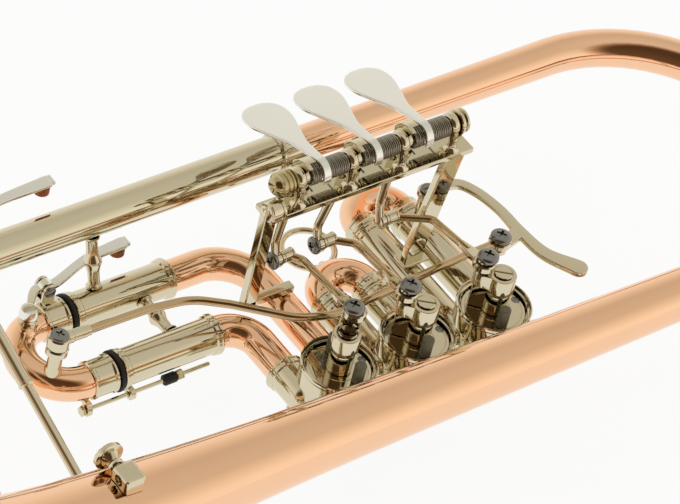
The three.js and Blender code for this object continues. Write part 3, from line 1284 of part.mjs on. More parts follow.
for (const n of [1, 2, 3]) {
  makeCasing(n, [first.sleeveEnd, second.sleeveEnd, third.portEnd][n - 1]);
  makeRing(n);
  makePlate(n);
  makeBackCap(n);
  makeRotor(n);
  makeStopArm(n);
  makePaddle(n);
  makeLinkRod(n);
  console.log(`paddle spring ${n}: least gap to itself ${makeSpring(n).toFixed(2)} mm`);
}
makeLeadpipe();
makeBell();
makeMainSlide();
makeThirdTubes();
makeThirdSlide();
makeValveSlide('first_slide', 1, first);
makeValveSlide('second_slide', 2, second, pullRingAt);
makeFrame();
makeHingeRod();
makeTriggerLever();
makeTriggerBracket();
makeStays();
makeLyre();

const whole = new THREE.Group();
whole.add(trumpet);
trumpet.position.copy(new THREE.Box3().setFromObject(trumpet).getCenter(place(0, 0, 0))).negate();

export default whole;
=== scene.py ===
"""Rotary valve trumpet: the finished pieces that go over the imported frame, with the studio they stand in."""

import math

import bpy
from bpy.props import FloatProperty, FloatVectorProperty, PointerProperty
from mathutils import Matrix, Quaternion, Vector


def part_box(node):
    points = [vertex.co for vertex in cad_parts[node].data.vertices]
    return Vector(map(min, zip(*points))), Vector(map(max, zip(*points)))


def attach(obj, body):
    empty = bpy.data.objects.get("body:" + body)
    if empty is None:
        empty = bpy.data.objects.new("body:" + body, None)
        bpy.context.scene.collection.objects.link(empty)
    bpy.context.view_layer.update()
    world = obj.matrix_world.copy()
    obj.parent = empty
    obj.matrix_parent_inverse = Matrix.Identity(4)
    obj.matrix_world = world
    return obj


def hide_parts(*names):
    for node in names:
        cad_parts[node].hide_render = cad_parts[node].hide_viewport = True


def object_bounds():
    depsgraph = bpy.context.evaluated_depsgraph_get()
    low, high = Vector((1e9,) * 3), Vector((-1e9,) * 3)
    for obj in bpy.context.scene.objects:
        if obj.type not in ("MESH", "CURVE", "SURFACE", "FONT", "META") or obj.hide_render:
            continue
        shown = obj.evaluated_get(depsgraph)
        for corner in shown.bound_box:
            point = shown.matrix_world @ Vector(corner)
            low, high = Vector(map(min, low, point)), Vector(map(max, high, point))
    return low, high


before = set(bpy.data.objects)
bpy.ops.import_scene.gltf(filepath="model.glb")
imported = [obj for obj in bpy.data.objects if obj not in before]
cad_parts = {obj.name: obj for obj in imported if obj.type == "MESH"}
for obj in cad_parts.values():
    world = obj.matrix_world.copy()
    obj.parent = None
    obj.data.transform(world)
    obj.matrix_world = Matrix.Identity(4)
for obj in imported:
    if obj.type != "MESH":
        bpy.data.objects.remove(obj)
CAD_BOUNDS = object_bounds()

bl_info = {
    "name": "Rotary valve trumpet",
    "version": (1, 0, 0),
    "blender": (4, 5, 0),
    "location": "3D View > Sidebar > Trumpet",
    "description": "Builds the tubes, valves, paddles and slides of a rotary valve trumpet",
    "category": "Object",
}

MM = 0.001
UP = Vector((0, 0, 1))
ALONG_X = Vector((1, 0, 0))
ALONG_Y = Vector((0, 1, 0))

# Millimetres from the middle valve: the valves along X, and how far each slide port stands from its valve
VALVE_X = {1: 33.8, 2: 0.0, 3: -33.8}
PORT = 9.0
# Bore of the slides' sleeves, outside of the legs that run in them, and sides of a round tube
SLEEVE_BORE = 6.15
LEG = 5.75
TUBE_SIDES = 40
# How far the ball stud of a rotor's stop arm stands from the valve's axis
STUD_REACH = 6.6
# The turn between two points on a rounded corner, and the number of steps in a half circle
BEND_STEP = math.radians(5)
HALF_TURN_STEPS = 36

# Axes of the long tubes as Y and Z in millimetres from the middle valve
BELL_Y, BELL_Z = -35.8, 31.2
FAR_Y, FAR_Z = 83.6, 31.2
LEAD_Y = -14.0
REAR_Y, FRONT_Y = 72.0, 42.0
# The third slide's bend, the turn round it at which the trigger post stands, and the line of the stop rod
THIRD_BEND = (-108.3, 57)
THIRD_BEND_RADIUS = 15
POST_TURN = math.pi * 0.73
STOP_Y, STOP_Z = 36.6, -8
# The hinge rod and the pins of the paddles as Y and Z, with the barrels, cheeks, bearings and pins along X
HINGE_Y, HINGE_Z = 45.3, 62.0
PIN_Y, PIN_Z = 42.5, 27.0
BEARINGS = [-30.3, -8.2, 13.9, 36.0]
BARREL_LEFT = {1: 16.0, 2: -6.1, 3: -28.2}
BARREL_RIGHT = {1: 33.9, 2: 11.8, 3: -10.3}
CHEEK = 1.6
PIN_X = {1: 11.7, 2: -15.5, 3: -33.5}
# A paddle's blade: length, lean in degrees and how far it stands left of its barrel's middle
BLADE_LENGTH, BLADE_LEAN, BLADE_SHIFT = 39.1, 12, 2.45
# Outside radius of the bell by the share of its length from the bow to the rim
FLARE = [
    (0, 8.58), (0.22, 10.08), (0.45, 11.9), (0.56, 13.52), (0.66, 15.93), (0.76, 19.83), (0.86, 27.76),
    (0.91, 35.1), (0.95, 43.55), (0.985, 55.25), (1, 64.4),
]
BOW_X, RIM_X = 116.6, -284.2

# The middle valve's axis at the height of the bore, which all the places here are measured from
_low, _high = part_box("rotor_2")
ORIGIN = Vector(((_low.x + _high.x) / 2, (_low.y + _high.y) / 2, _low.z + 10 * MM))


def at(x, y, z):
    """A place given in millimetres from the middle valve, in the frame's metres."""
    return ORIGIN + Vector((x, y, z)) * MM


def bell(x):
    """A place on the axis of the bell's straight part."""
    return at(x, BELL_Y, BELL_Z)


def far(x):
    """A place on the axis of the main slide's far leg."""
    return at(x, FAR_Y, FAR_Z)


def lead(x):
    """A place on the axis of the leadpipe and of the main slide's near leg."""
    return at(x, LEAD_Y, 0)


def hinge(x):
    """A place on the paddles' hinge line."""
    return at(x, HINGE_Y, HINGE_Z)


def pin(x):
    """A place on the line of the pins between the paddles and the link rods."""
    return at(x, PIN_Y, PIN_Z)


def linear(hex_colour):
    """An sRGB hex colour as the linear values that the shaders take."""
    values = [int(hex_colour[i : i + 2], 16) / 255 for i in (0, 2, 4)]
    return tuple(v / 12.92 if v <= 0.04045 else ((v + 0.055) / 1.055) ** 2.4 for v in values)


def length(name, description, millimetres):
    """A size for the panel."""
    return FloatProperty(name=name, description=description, default=millimetres * MM, unit="LENGTH")


def tint(name, description, hex_colour):
    """A colour for the panel."""
    default = linear(hex_colour)
    return FloatVectorProperty(name=name, description=description, subtype="COLOR", size=3, default=default)


class TrumpetSizes(bpy.types.PropertyGroup):
    """Sizes that a user would change."""

    tube_radius: length("Tube radius", "Outside of the plain tubing", 6.0)
    sleeve_radius: length("Sleeve radius", "Outside of the slides' outer tubes", 6.65)
    ferrule_radius: length("Ferrule radius", "Outside of the ferrules", 7.2)
    rod_radius: length("Rod radius", "Radius of the link rods", 1.4)


class TrumpetFinishes(bpy.types.PropertyGroup):
    """Colours of the finishes."""

    gold_brass: tint("Gold brass", "Bell, bow and crooks", "f8caa4")
    nickel_silver: tint("Nickel silver", "Sleeves, valves and frame", "d8ceb2")
    paddle_silver: tint("Paddles", "Finger paddles and water keys", "ecebe4")
    rod_brass: tint("Rod brass", "Link rods", "c9b088")
    nut_brass: tint("Nut brass", "Domed nut of the hinge rod", "bcae82")
    screw_steel: tint("Screw steel", "Screws and ball sockets", "8d8c88")
    spring_steel: tint("Spring steel", "Coiled springs", "a39d8c")
    rubber: tint("Rubber", "Buffers and rings", "1a1a1a")
    stop_rubber: tint("Stop rubber", "Stops of the valves", "6a6652")
    cork: tint("Cork", "Corks of the water keys", "b0663a")
    floor: tint("Floor", "Floor and backdrop", "fdfdfd")


def size(name):
    """A size from the panel's settings, in millimetres."""
    return round(getattr(bpy.context.scene.trumpet_sizes, name) / MM, 4)


def add_node(tree, kind, inputs=(), **settings):
    """One shader node with its settings; inputs pairs a socket with a value or another node's output."""
    made = tree.nodes.new(kind)
    for key, value in settings.items():
        setattr(made, key, value)
    for key, value in inputs:
        if isinstance(value, bpy.types.NodeSocket):
            tree.links.new(value, made.inputs[key])
        else:
            made.inputs[key].default_value = value
    return made


def blank_material(name):
    """A material with only its output node, which is handed back with the tree."""
    made = bpy.data.materials.new(name)
    made.use_nodes = True
    made.node_tree.nodes.clear()
    return made, made.node_tree, made.node_tree.nodes.new("ShaderNodeOutputMaterial")


def noise(tree, scale, detail):
    """Noise in the piece's own coordinates."""
    place = add_node(tree, "ShaderNodeTexCoord").outputs["Object"]
    inputs = [("Vector", place), ("Scale", scale), ("Detail", detail)]
    return add_node(tree, "ShaderNodeTexNoise", inputs).outputs["Fac"]


def mapped(tree, value, source, target, **settings):
    """A value taken from one range to another."""
    names = ("From Min", "From Max", "To Min", "To Max")
    inputs = [("Value", value), *zip(names, (*source, *target))]
    return add_node(tree, "ShaderNodeMapRange", inputs, **settings).outputs["Result"]


def toned(tree, colour, tone):
    """A colour made lighter or darker."""
    inputs = [(0, tuple(colour)), ("Scale", tone)]
    return add_node(tree, "ShaderNodeVectorMath", inputs, operation="SCALE").outputs["Vector"]


def bumped(tree, height, strength, depth_mm):
    """A fine relief."""
    inputs = [("Height", height), ("Strength", strength), ("Distance", depth_mm * MM)]
    return add_node(tree, "ShaderNodeBump", inputs).outputs["Normal"]


def polished_metal(name, colour, roughness, wear, grain_mm, coat=0.0):
    """Buffed metal: the colour drifts a little and the buffing leaves a faint haze in the shine."""
    made, tree, output = blank_material(name)
    haze = noise(tree, 1 / (grain_mm * MM), 4.0)
    drift = noise(tree, 35.0, 2.0)
    metal = add_node(tree, "ShaderNodeBsdfPrincipled", [
        ("Base Color", toned(tree, colour, mapped(tree, drift, (0, 1), (1 - wear, 1 + wear / 2)))),
        ("Metallic", 1.0),
        ("Roughness", mapped(tree, haze, (0, 1), (roughness * 0.6, roughness * 1.5))),
        ("Normal", bumped(tree, haze, 0.02, 0.02)),
        ("Coat Weight", coat),
        ("Coat Roughness", 0.04),
    ])
    tree.links.new(metal.outputs[0], output.inputs["Surface"])
    return made


def soft_material(name, colour, roughness, grain_mm, contrast, depth_mm):
    """Rubber or cork: a grainy colour that is rough to the light."""
    made, tree, output = blank_material(name)
    grain = noise(tree, 1 / (grain_mm * MM), 6.0)
    body = add_node(tree, "ShaderNodeBsdfPrincipled", [
        ("Base Color", toned(tree, colour, mapped(tree, grain, (0.3, 0.7), (1 - contrast, 1 + contrast)))),
        ("Roughness", roughness),
        ("Normal", bumped(tree, grain, 0.5, depth_mm)),
    ])
    tree.links.new(body.outputs[0], output.inputs["Surface"])
    return made


def make_finishes():
    """All the finishes of the instrument, by the record's slot or by what they are for."""
    tints = bpy.context.scene.trumpet_finishes
    return {
        # Gold brass under clear lacquer: copper-red, mirror bright
        "gold_brass": polished_metal("lacquered_gold_brass", tints.gold_brass, 0.05, 0.03, 1.5, 0.1),
        # Nickel silver, buffed: pale with a straw-yellow cast
        "nickel_silver": polished_metal("buffed_nickel_silver", tints.nickel_silver, 0.05, 0.03, 1.2),
        # Nickel plate on the paddles: whiter, with a softer shine
        "pale_nickel": polished_metal("nickel_plate", tints.paddle_silver, 0.16, 0.03, 0.8),
        # Drawn brass rod: straw yellow
        "brass": polished_metal("drawn_brass", tints.rod_brass, 0.14, 0.06, 0.9),
        # Old unlacquered brass: olive and duller, on the domed nut
        "olive_brass": polished_metal("worn_brass", tints.nut_brass, 0.1, 0.1, 0.9),
        # Zinc-plated steel screws: grey and a little dull
        "screw_steel": polished_metal("plated_screw_steel", tints.screw_steel, 0.24, 0.12, 0.5),
        # Drawn spring wire: grey, with drawing marks
        "dark_steel": polished_metal("spring_wire", tints.spring_steel, 0.3, 0.2, 0.3),
        # Moulded rubber: black and matt
        "rubber": soft_material("moulded_rubber", tints.rubber, 0.6, 0.4, 0.2, 0.03),
        # Moulded rubber, grey-olive: the stops of the valves
        "grey_rubber": soft_material("stop_rubber", tints.stop_rubber, 0.5, 0.5, 0.15, 0.02),
        # Pressed cork: brown-orange with darker specks
        "cork": soft_material("pressed_cork", tints.cork, 0.75, 0.5, 0.45, 0.15),
    }


# Filled once the settings are registered
FINISH = {}


def clear_selection():
    """Leaves edit mode with nothing selected."""
    if bpy.context.object and bpy.context.object.mode != "OBJECT":
        bpy.ops.object.mode_set(mode="OBJECT")
    bpy.ops.object.select_all(action="DESELECT")


def pick(*objects):
    """Selects these objects alone, the first one active."""
    clear_selection()
    for obj in objects:
        obj.select_set(True)
    bpy.context.view_layer.objects.active = objects[0]


def settle(obj, matrix=None):
    """Moves a piece to its place and puts that place into its mesh."""
    pick(obj)
    if matrix is not None:
        obj.matrix_world = matrix
    bpy.ops.object.transform_apply(location=True, rotation=True, scale=True)
    return obj


def standing(start, axis):
    """The matrix that takes +Z to an axis, from a starting place."""
    turn = UP.rotation_difference(Vector(axis).normalized())
    return Matrix.Translation(start) @ turn.to_matrix().to_4x4()


def close_up(obj):
    """Merges doubled points, fills open ends and points the faces outwards."""
    pick(obj)
    bpy.ops.object.mode_set(mode="EDIT")
    bpy.ops.mesh.select_all(action="SELECT")
    bpy.ops.mesh.remove_doubles(threshold=0.004 * MM)
    bpy.ops.mesh.select_all(action="DESELECT")
    bpy.ops.mesh.select_non_manifold(
        use_wire=False, use_boundary=True, use_multi_face=False, use_non_contiguous=False, use_verts=False
    )
    bpy.ops.mesh.fill_holes(sides=0)
    bpy.ops.mesh.select_all(action="SELECT")
    bpy.ops.mesh.normals_make_consistent(inside=False)
    bpy.ops.object.mode_set(mode="OBJECT")
    return obj


def turned(start, axis, profile, sides=48):
    """A piece as from a lathe: a ring is extruded along the axis through pairs of radius and height in mm."""
    clear_selection()
    rings = [(radius, height) for radius, height in profile if radius > 0]
    radius, height = rings[0]
    bpy.ops.mesh.primitive_circle_add(vertices=sides, radius=radius * MM, location=(0, 0, height * MM))
    obj = bpy.context.object
    settle(obj)
    bpy.ops.object.mode_set(mode="EDIT")
    bpy.ops.mesh.select_all(action="SELECT")
    for next_radius, next_height in rings[1:]:
        bpy.ops.mesh.extrude_region_move(
            TRANSFORM_OT_translate={"value": (0, 0, (next_height - height) * MM)}
        )
        factor = next_radius / radius
        bpy.ops.transform.resize(value=(factor, factor, 1), center_override=(0, 0, next_height * MM))
        radius, height = next_radius, next_height
    bpy.ops.object.mode_set(mode="OBJECT")
    close_up(obj)
    return settle(obj, standing(start, axis))


def swept(points, radii, sides=24, wall=0.0):
    """A round tube along points in metres, with radii in millimetres; a wall makes it hollow."""
    clear_selection()
    bpy.ops.curve.primitive_nurbs_path_add(location=(0, 0, 0))
    obj = bpy.context.object
    curve = obj.data
    curve.splines.clear()
    spline = curve.splines.new("POLY")
    spline.points.add(len(points) - 1)
    if not hasattr(radii, "__len__"):
        radii = [radii] * len(points)
    for knot, spot, radius in zip(spline.points, points, radii):
        knot.co = (*spot, 1)
        knot.radius = radius
    curve.dimensions = "3D"
    curve.bevel_depth = MM
    curve.bevel_resolution = (sides - 4) // 2
    curve.use_fill_caps = not wall
    bpy.ops.object.convert(target="MESH")
    obj = bpy.context.object
    if wall:
        finish_with(obj, "SOLIDIFY", thickness=wall * MM, offset=-1, use_even_offset=True)
    else:
        close_up(obj)
    return obj


def finish_with(obj, kind, **settings):
    """Adds a modifier and applies it."""
    pick(obj)
    bpy.ops.object.modifier_add(type=kind)
    modifier = obj.modifiers[-1]
    for key, value in settings.items():
        setattr(modifier, key, value)
    bpy.ops.object.modifier_apply(modifier=modifier.name)
    return obj


def flat(outline, thickness, matrix, edge):
    """A plate cut to an outline of X and Y in millimetres, with broken edges, centred on its thickness."""
    clear_selection()
    bpy.ops.curve.primitive_bezier_curve_add(location=(0, 0, 0))
    curve = bpy.context.object.data
    curve.splines.clear()
    spline = curve.splines.new("POLY")
    spline.points.add(len(outline) - 1)
    for knot, spot in zip(spline.points, outline):
        knot.co = (spot[0] * MM, spot[1] * MM, 0, 1)
    spline.use_cyclic_u = True
    curve.dimensions = "2D"
    curve.fill_mode = "BOTH"
    curve.extrude = (thickness / 2 - edge) * MM
    curve.bevel_depth = edge * MM
    curve.bevel_resolution = 2
    curve.offset = -edge * MM
    bpy.ops.object.convert(target="MESH")
    obj = bpy.context.object
    close_up(obj)
    return settle(obj, matrix)


def joined(*objects):
    """Several shapes made one piece."""
    pick(*objects)
    bpy.ops.object.join()
    return bpy.context.object


def piece(obj, name, finish, body, *nodes):
    """Names a finished piece, smooths it, gives it its finish and lets it ride on its body."""
    pick(obj)
    bpy.ops.object.shade_smooth_by_angle(angle=math.radians(35))
    finish_with(obj, "WEIGHTED_NORMAL", keep_sharp=True)
    obj.name = name
    obj.data.name = name
    obj.data.materials.clear()
    obj.data.materials.append(FINISH[finish])
    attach(obj, body)
    if nodes:
        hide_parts(*nodes)
    return obj


def bend_points(before, corner, after, radius):
    """Points along the arc that rounds a corner."""
    incoming = (corner - before).normalized()
    outgoing = (after - corner).normalized()
    angle = incoming.angle(outgoing)
    start = corner - incoming * radius * math.tan(angle / 2)
    axis = incoming.cross(outgoing).normalized()
    centre = start + axis.cross(incoming) * radius
    count = max(2, math.ceil(angle / BEND_STEP))
    return [centre + Quaternion(axis, angle * k / count) @ (start - centre) for k in range(count + 1)]


def route(*corners):
    """Points along straight runs with rounded corners; each corner is a place with a radius in mm."""
    spots = [spot for spot, radius in corners]
    points = [spots[0]]
    for i in range(1, len(corners) - 1):
        points += bend_points(spots[i - 1], spots[i], spots[i + 1], corners[i][1] * MM)
    points.append(spots[-1])
    return points


def mirrored(profile, length):
    """A profile turned end for end on a piece of this length."""
    return [(radius, length - height) for radius, height in reversed(profile)]


def sleeve_profile(length, inner, outer, ferrules=(1, 1), rise=0.55):
    """A slide's outer tube with a beaded ferrule at either end, closed on itself."""
    band, bead = outer + rise, outer + rise + 0.3
    end = [(band, 0), (bead, 0.3), (bead, 0.9), (band, 1.2), (band, 2.5), (outer, 3.0)]
    near, back = (end if shown else [(outer, 0)] for shown in ferrules)
    return [(inner, 0), *near, *mirrored(back, length), (inner, length), (inner, 0)]


def slab(centre, extent, edge=0.0):
    """A block by its centre and extent in metres, with its edges rounded if asked."""
    clear_selection()
    bpy.ops.mesh.primitive_cube_add(size=1, location=centre)
    obj = bpy.context.object
    obj.scale = extent
    settle(obj)
    if edge:
        finish_with(obj, "BEVEL", width=edge * MM, segments=3, limit_method="NONE")
    return obj


def block(low, high, edge):
    """A block between two corners in millimetres from the middle valve, with its edges rounded."""
    middle = at(*[(a + b) / 2 for a, b in zip(low, high)])
    return slab(middle, [(b - a) * MM for a, b in zip(low, high)], edge)


def strut(start, end, width, depth, edge):
    """A flat bar between two places; its width has no part along Y."""
    axis = end - start
    obj = slab((0, 0, axis.length / 2), (width * MM, depth * MM, axis.length), edge)
    axis.normalize()
    across = ALONG_Y.cross(axis).normalized()
    turn = Matrix((across, axis.cross(across), axis)).transposed().to_4x4()
    return settle(obj, Matrix.Translation(start) @ turn)


def fused(obj, *others):
    """Several solids made one body by union."""
    for other in others:
        use_solid(obj, other, "UNION")
    return obj


def carve(obj, *cutters):
    """Cuts shapes out of a piece."""
    for cutter in cutters:
        use_solid(obj, cutter, "DIFFERENCE")
    return obj


def use_solid(obj, tool, operation):
    """Joins or cuts with another solid, which is used up."""
    finish_with(obj, "BOOLEAN", operation=operation, solver="EXACT", object=tool)
    pick(tool)
    bpy.ops.object.delete()


def rod(start, end, radius, sides, edge=0.25):
    """A plain round bar between two places, its ends chamfered."""
    length = (end - start).length / MM
    profile = [(radius - edge, 0), (radius, edge), (radius, length - edge), (radius - edge, length)]
    return turned(start, end - start, profile, sides)


def ball(centre, radius):
    """A ball, its radius in millimetres."""
    clear_selection()
    bpy.ops.mesh.primitive_uv_sphere_add(segments=24, ring_count=12, radius=radius * MM, location=centre)
    return settle(bpy.context.object)


def ring(centre, axis, radius, wire, sides, wire_sides):
    """A round wire ring."""
    clear_selection()
    bpy.ops.mesh.primitive_torus_add(
        major_radius=radius * MM, minor_radius=wire * MM, major_segments=sides, minor_segments=wire_sides
    )
    return settle(bpy.context.object, standing(centre, axis))


def screw_head(start, axis, radius, height, recess):
    """A domed screw head with a straight slot or a cross, standing on a face."""
    profile = [(radius * 0.97, 0), (radius, height * 0.1), (radius, height * 0.4)]
    profile += [
        (radius * math.cos(turn), height * (0.4 + 0.6 * math.sin(turn)))
        for turn in [math.radians(k * 15) for k in range(1, 6)]
    ]
    head = turned(Vector((0, 0, 0)), UP, profile, 32)
    arms = [0] if recess == "slot" else [35, 125]
    reach = radius * (2.2 if recess == "slot" else 0.95)
    depth = height * 0.8 if recess == "slot" else height * 1.1
    for degrees in arms:
        cutter = slab((0, 0, 0), (reach * MM, radius * 0.23 * MM, depth * MM))
        lift = Matrix.Translation((0, 0, height * MM))
        carve(head, settle(cutter, lift @ Matrix.Rotation(math.radians(degrees), 4, "Z")))
    return settle(head, standing(start, axis))


def smooth_between(pairs, place):
    """A smooth curve through pairs of place and value."""
    index = max(k for k in range(len(pairs) - 1) if pairs[k][0] <= place or k == 0)
    (x0, y0), (x1, y1) = pairs[index], pairs[index + 1]

    def slope(k):
        low, high = max(k - 1, 0), min(k + 1, len(pairs) - 1)
        return (pairs[high][1] - pairs[low][1]) / (pairs[high][0] - pairs[low][0])

    span = x1 - x0
    t = (place - x0) / span
    return (
        (2 * t**3 - 3 * t**2 + 1) * y0
        + (t**3 - 2 * t**2 + t) * span * slope(index)
        + (3 * t**2 - 2 * t**3) * y1
        + (t**3 - t**2) * span * slope(index + 1)
    )


def strap_outline(points, half_widths):
    """The outline of a strap along a smooth line through points in millimetres, with a round far end."""
    line, widths, steps = [], [], 10
    for k in range((len(points) - 1) * steps + 1):
        share = k / steps
        spot = [smooth_between([(n, p[axis]) for n, p in enumerate(points)], share) for axis in (0, 1)]
        line.append(Vector(spot))
        widths.append(smooth_between(list(enumerate(half_widths)), share))
    sides = {1: [], -1: []}
    for k, spot in enumerate(line):
        along = (line[min(k + 1, len(line) - 1)] - line[max(k - 1, 0)]).normalized()
        for side, edge in sides.items():
            edge.append(spot + Vector((-along.y, along.x)) * side * widths[k])
    along = (line[-1] - line[-2]).normalized()
    across = Vector((-along.y, along.x))
    tip = [
        line[-1] + (across * math.cos(turn) + along * math.sin(turn)) * widths[-1]
        for turn in [math.pi * k / 12 for k in range(1, 12)]
    ]
    return sides[1] + tip + sides[-1][::-1]


def half_turn(centre, first, side, radius):
    """Points on a half circle about a centre, from one direction to its opposite through a side."""
    turns = [math.pi * k / HALF_TURN_STEPS for k in range(HALF_TURN_STEPS + 1)]
    return [centre + (first * math.cos(turn) + side * math.sin(turn)) * radius * MM for turn in turns]


def crook_tube(points):
    """A slide's U tube: thinner legs that run in the sleeves, with the bend between them, and hollow."""
    radii = [LEG, LEG, *[size("tube_radius")] * (len(points) - 4), LEG, LEG]
    return swept(points, radii, sides=TUBE_SIDES, wall=0.45)


class TRUMPET_OT_bell(bpy.types.Operator):
    """The bell's tail, bow and flare in one tube, with its rolled rim."""

    bl_idname = "trumpet.bell"
    bl_label = "Bell"

    def execute(self, context):
        points = [far(0.2 + 116.4 * k / 8) for k in range(8)]
        radii = [6.5 + 0.416 * k / 8 for k in range(8)]
        middle = at(BOW_X, (FAR_Y + BELL_Y) / 2, FAR_Z)
        points += half_turn(middle, ALONG_Y, ALONG_X, (FAR_Y - BELL_Y) / 2)
        radii += [6.916 + 1.664 * k / 36 for k in range(37)]
        shares = [1 - (1 - k / 80) ** 1.5 for k in range(1, 81)]
        points += [bell(BOW_X + (RIM_X - BOW_X) * share) for share in shares]
        radii += [smooth_between(FLARE, share) for share in shares]
        tube = swept(points, radii, sides=96, wall=0.6)
        rim = ring(bell(-283.75), ALONG_X, 63.85, 1.15, 128, 14)
        piece(joined(tube, rim), "bell_tube", "gold_brass", "base", "bell")
        return {"FINISHED"}


def sleeve_on(start, axis, length):
    """A slide's outer sleeve with its ferrules."""
    rise = size("ferrule_radius") - size("sleeve_radius")
    return turned(start, axis, sleeve_profile(length, SLEEVE_BORE, size("sleeve_radius"), rise=rise))


def cap_ferrule(start, axis, length):
    """The ferrule on an inner leg, where the crook begins: two beads with a hollow between them."""
    return turned(start, axis, [
        (5.9, 0), (6.65, 0), (7.1, 0.4), (7.1, 1.1), (6.75, 1.5), (6.65, 2), (6.65, length - 1.6),
        (6.9, length - 1.3), (6.9, length - 0.4), (6.4, length), (5.9, length), (5.9, 0),
    ])


class TRUMPET_OT_main_slide(bpy.types.Operator):
    """The main slide: two sleeves, the brace between them and the crook that slides."""

    bl_idname = "trumpet.main_slide"
    bl_label = "Main slide"

    def execute(self, context):
        outside = sleeve_profile(137.5, SLEEVE_BORE, size("sleeve_radius"), (1, 0))[:-2]
        sleeve = turned(far(-145), ALONG_X, outside + [
            (7.15, 137.5), (7.5, 138.1), (7.5, 139.2), (7.3, 139.6), (7.3, 146.4), (7.5, 146.8), (7.5, 147.8),
            (7.2, 148.2), (6.8, 148.2), (6.8, 144.9), (SLEEVE_BORE, 144.9), (SLEEVE_BORE, 0),
        ])
        piece(sleeve, "main_sleeve_back", "nickel_silver", "base", "main_sleeve_far")
        elbow = route((at(-41.9, -8.1, 0), 0), (lead(-47.8), 14.4), (lead(-68.5), 0))
        bend = swept(elbow, size("tube_radius"), sides=TUBE_SIDES, wall=0.5)
        piece(bend, "main_sleeve_elbow", "nickel_silver", "base")
        near = sleeve_on(lead(-145), ALONG_X, 77.4)
        piece(near, "main_sleeve_front", "nickel_silver", "base", "main_sleeve_near")

        across = (lead(0) - far(0)).normalized()
        length = (lead(0) - far(0)).length / MM - 2 * 6.95
        knot = length * 0.47
        brace = turned(far(-138.4) + across * 6.95 * MM, across, [
            (3.0, 0), (3.0, 0.8), (2.6, 1.4), (2.5, 1.8), (2.5, knot - 0.6), (2.7, knot - 0.4),
            (2.7, knot + 0.4), (1.9, knot + 0.8), (1.9, length - 2.4), (2.4, length - 1.6),
            (3.0, length - 0.8), (3.0, length),
        ], 32)
        piece(brace, "main_slide_brace", "nickel_silver", "base", "main_brace")

        crook = [far(-109), far(-150.5)]
        crook += route((far(-151), 0), (far(-173), 19), (lead(-173), 19), (lead(-151), 0))
        crook += [lead(-150.5), lead(-109)]
        piece(crook_tube(crook), "main_slide_crook", "gold_brass", "main_slide_body", "main_slide")
        caps = [cap_ferrule(start, -ALONG_X, 5.7) for start in (far(-145.5), lead(-145.5))]
        piece(joined(*caps), "main_slide_ferrules", "nickel_silver", "main_slide_body")
        return {"FINISHED"}


class TRUMPET_OT_leadpipe(bpy.types.Operator):
    """The leadpipe with its elbow into the first valve, and the mouthpiece receiver."""

    bl_idname = "trumpet.leadpipe"
    bl_label = "Leadpipe"

    def execute(self, context):
        points = route((at(41.9, -8.1, 0), 0), (lead(47.8), 14.4), (lead(182), 0))
        first, last = points[-2:]
        points = points[:-1] + [first.lerp(last, k / 12) for k in range(1, 13)]
        radius = size("tube_radius")
        radii = [radius] * (len(points) - 12) + [radius - 0.8 * k / 12 for k in range(1, 13)]
        tube = swept(points, radii, sides=TUBE_SIDES, wall=0.6)
        piece(tube, "leadpipe_tube", "gold_brass", "base", "leadpipe")
        receiver = turned(lead(170), ALONG_X, [
            (5.6, 0), (6.7, 0), (7.1, 0.5), (7.1, 1.5), (6.8, 2), (6.8, 4), (7.0, 4.5), (7.0, 26.6),
            (6.8, 27.2), (7.3, 28), (7.6, 28.5), (7.6, 31), (7.2, 31.8), (6.6, 32), (5.9, 32),
            (5.6, 31.6), (5.6, 0),
        ])
        piece(receiver, "receiver_tube", "nickel_silver", "base", "mouthpiece_receiver")
        return {"FINISHED"}


def valve_port(n, side, end):
    """A valve's slide port as a solid body with its ferrule."""
    return turned(at(VALVE_X[n] + side * PORT, 0, 0), ALONG_Y, [
        (2.0, -1.2), (4.6, -0.4), (6.0, 1.2), (6.65, 3.4), (6.65, end - 3), (7.2, end - 2.6),
        (7.2, end - 1.2), (7.5, end - 0.9), (7.5, end - 0.3), (7.2, end),
    ], 40)


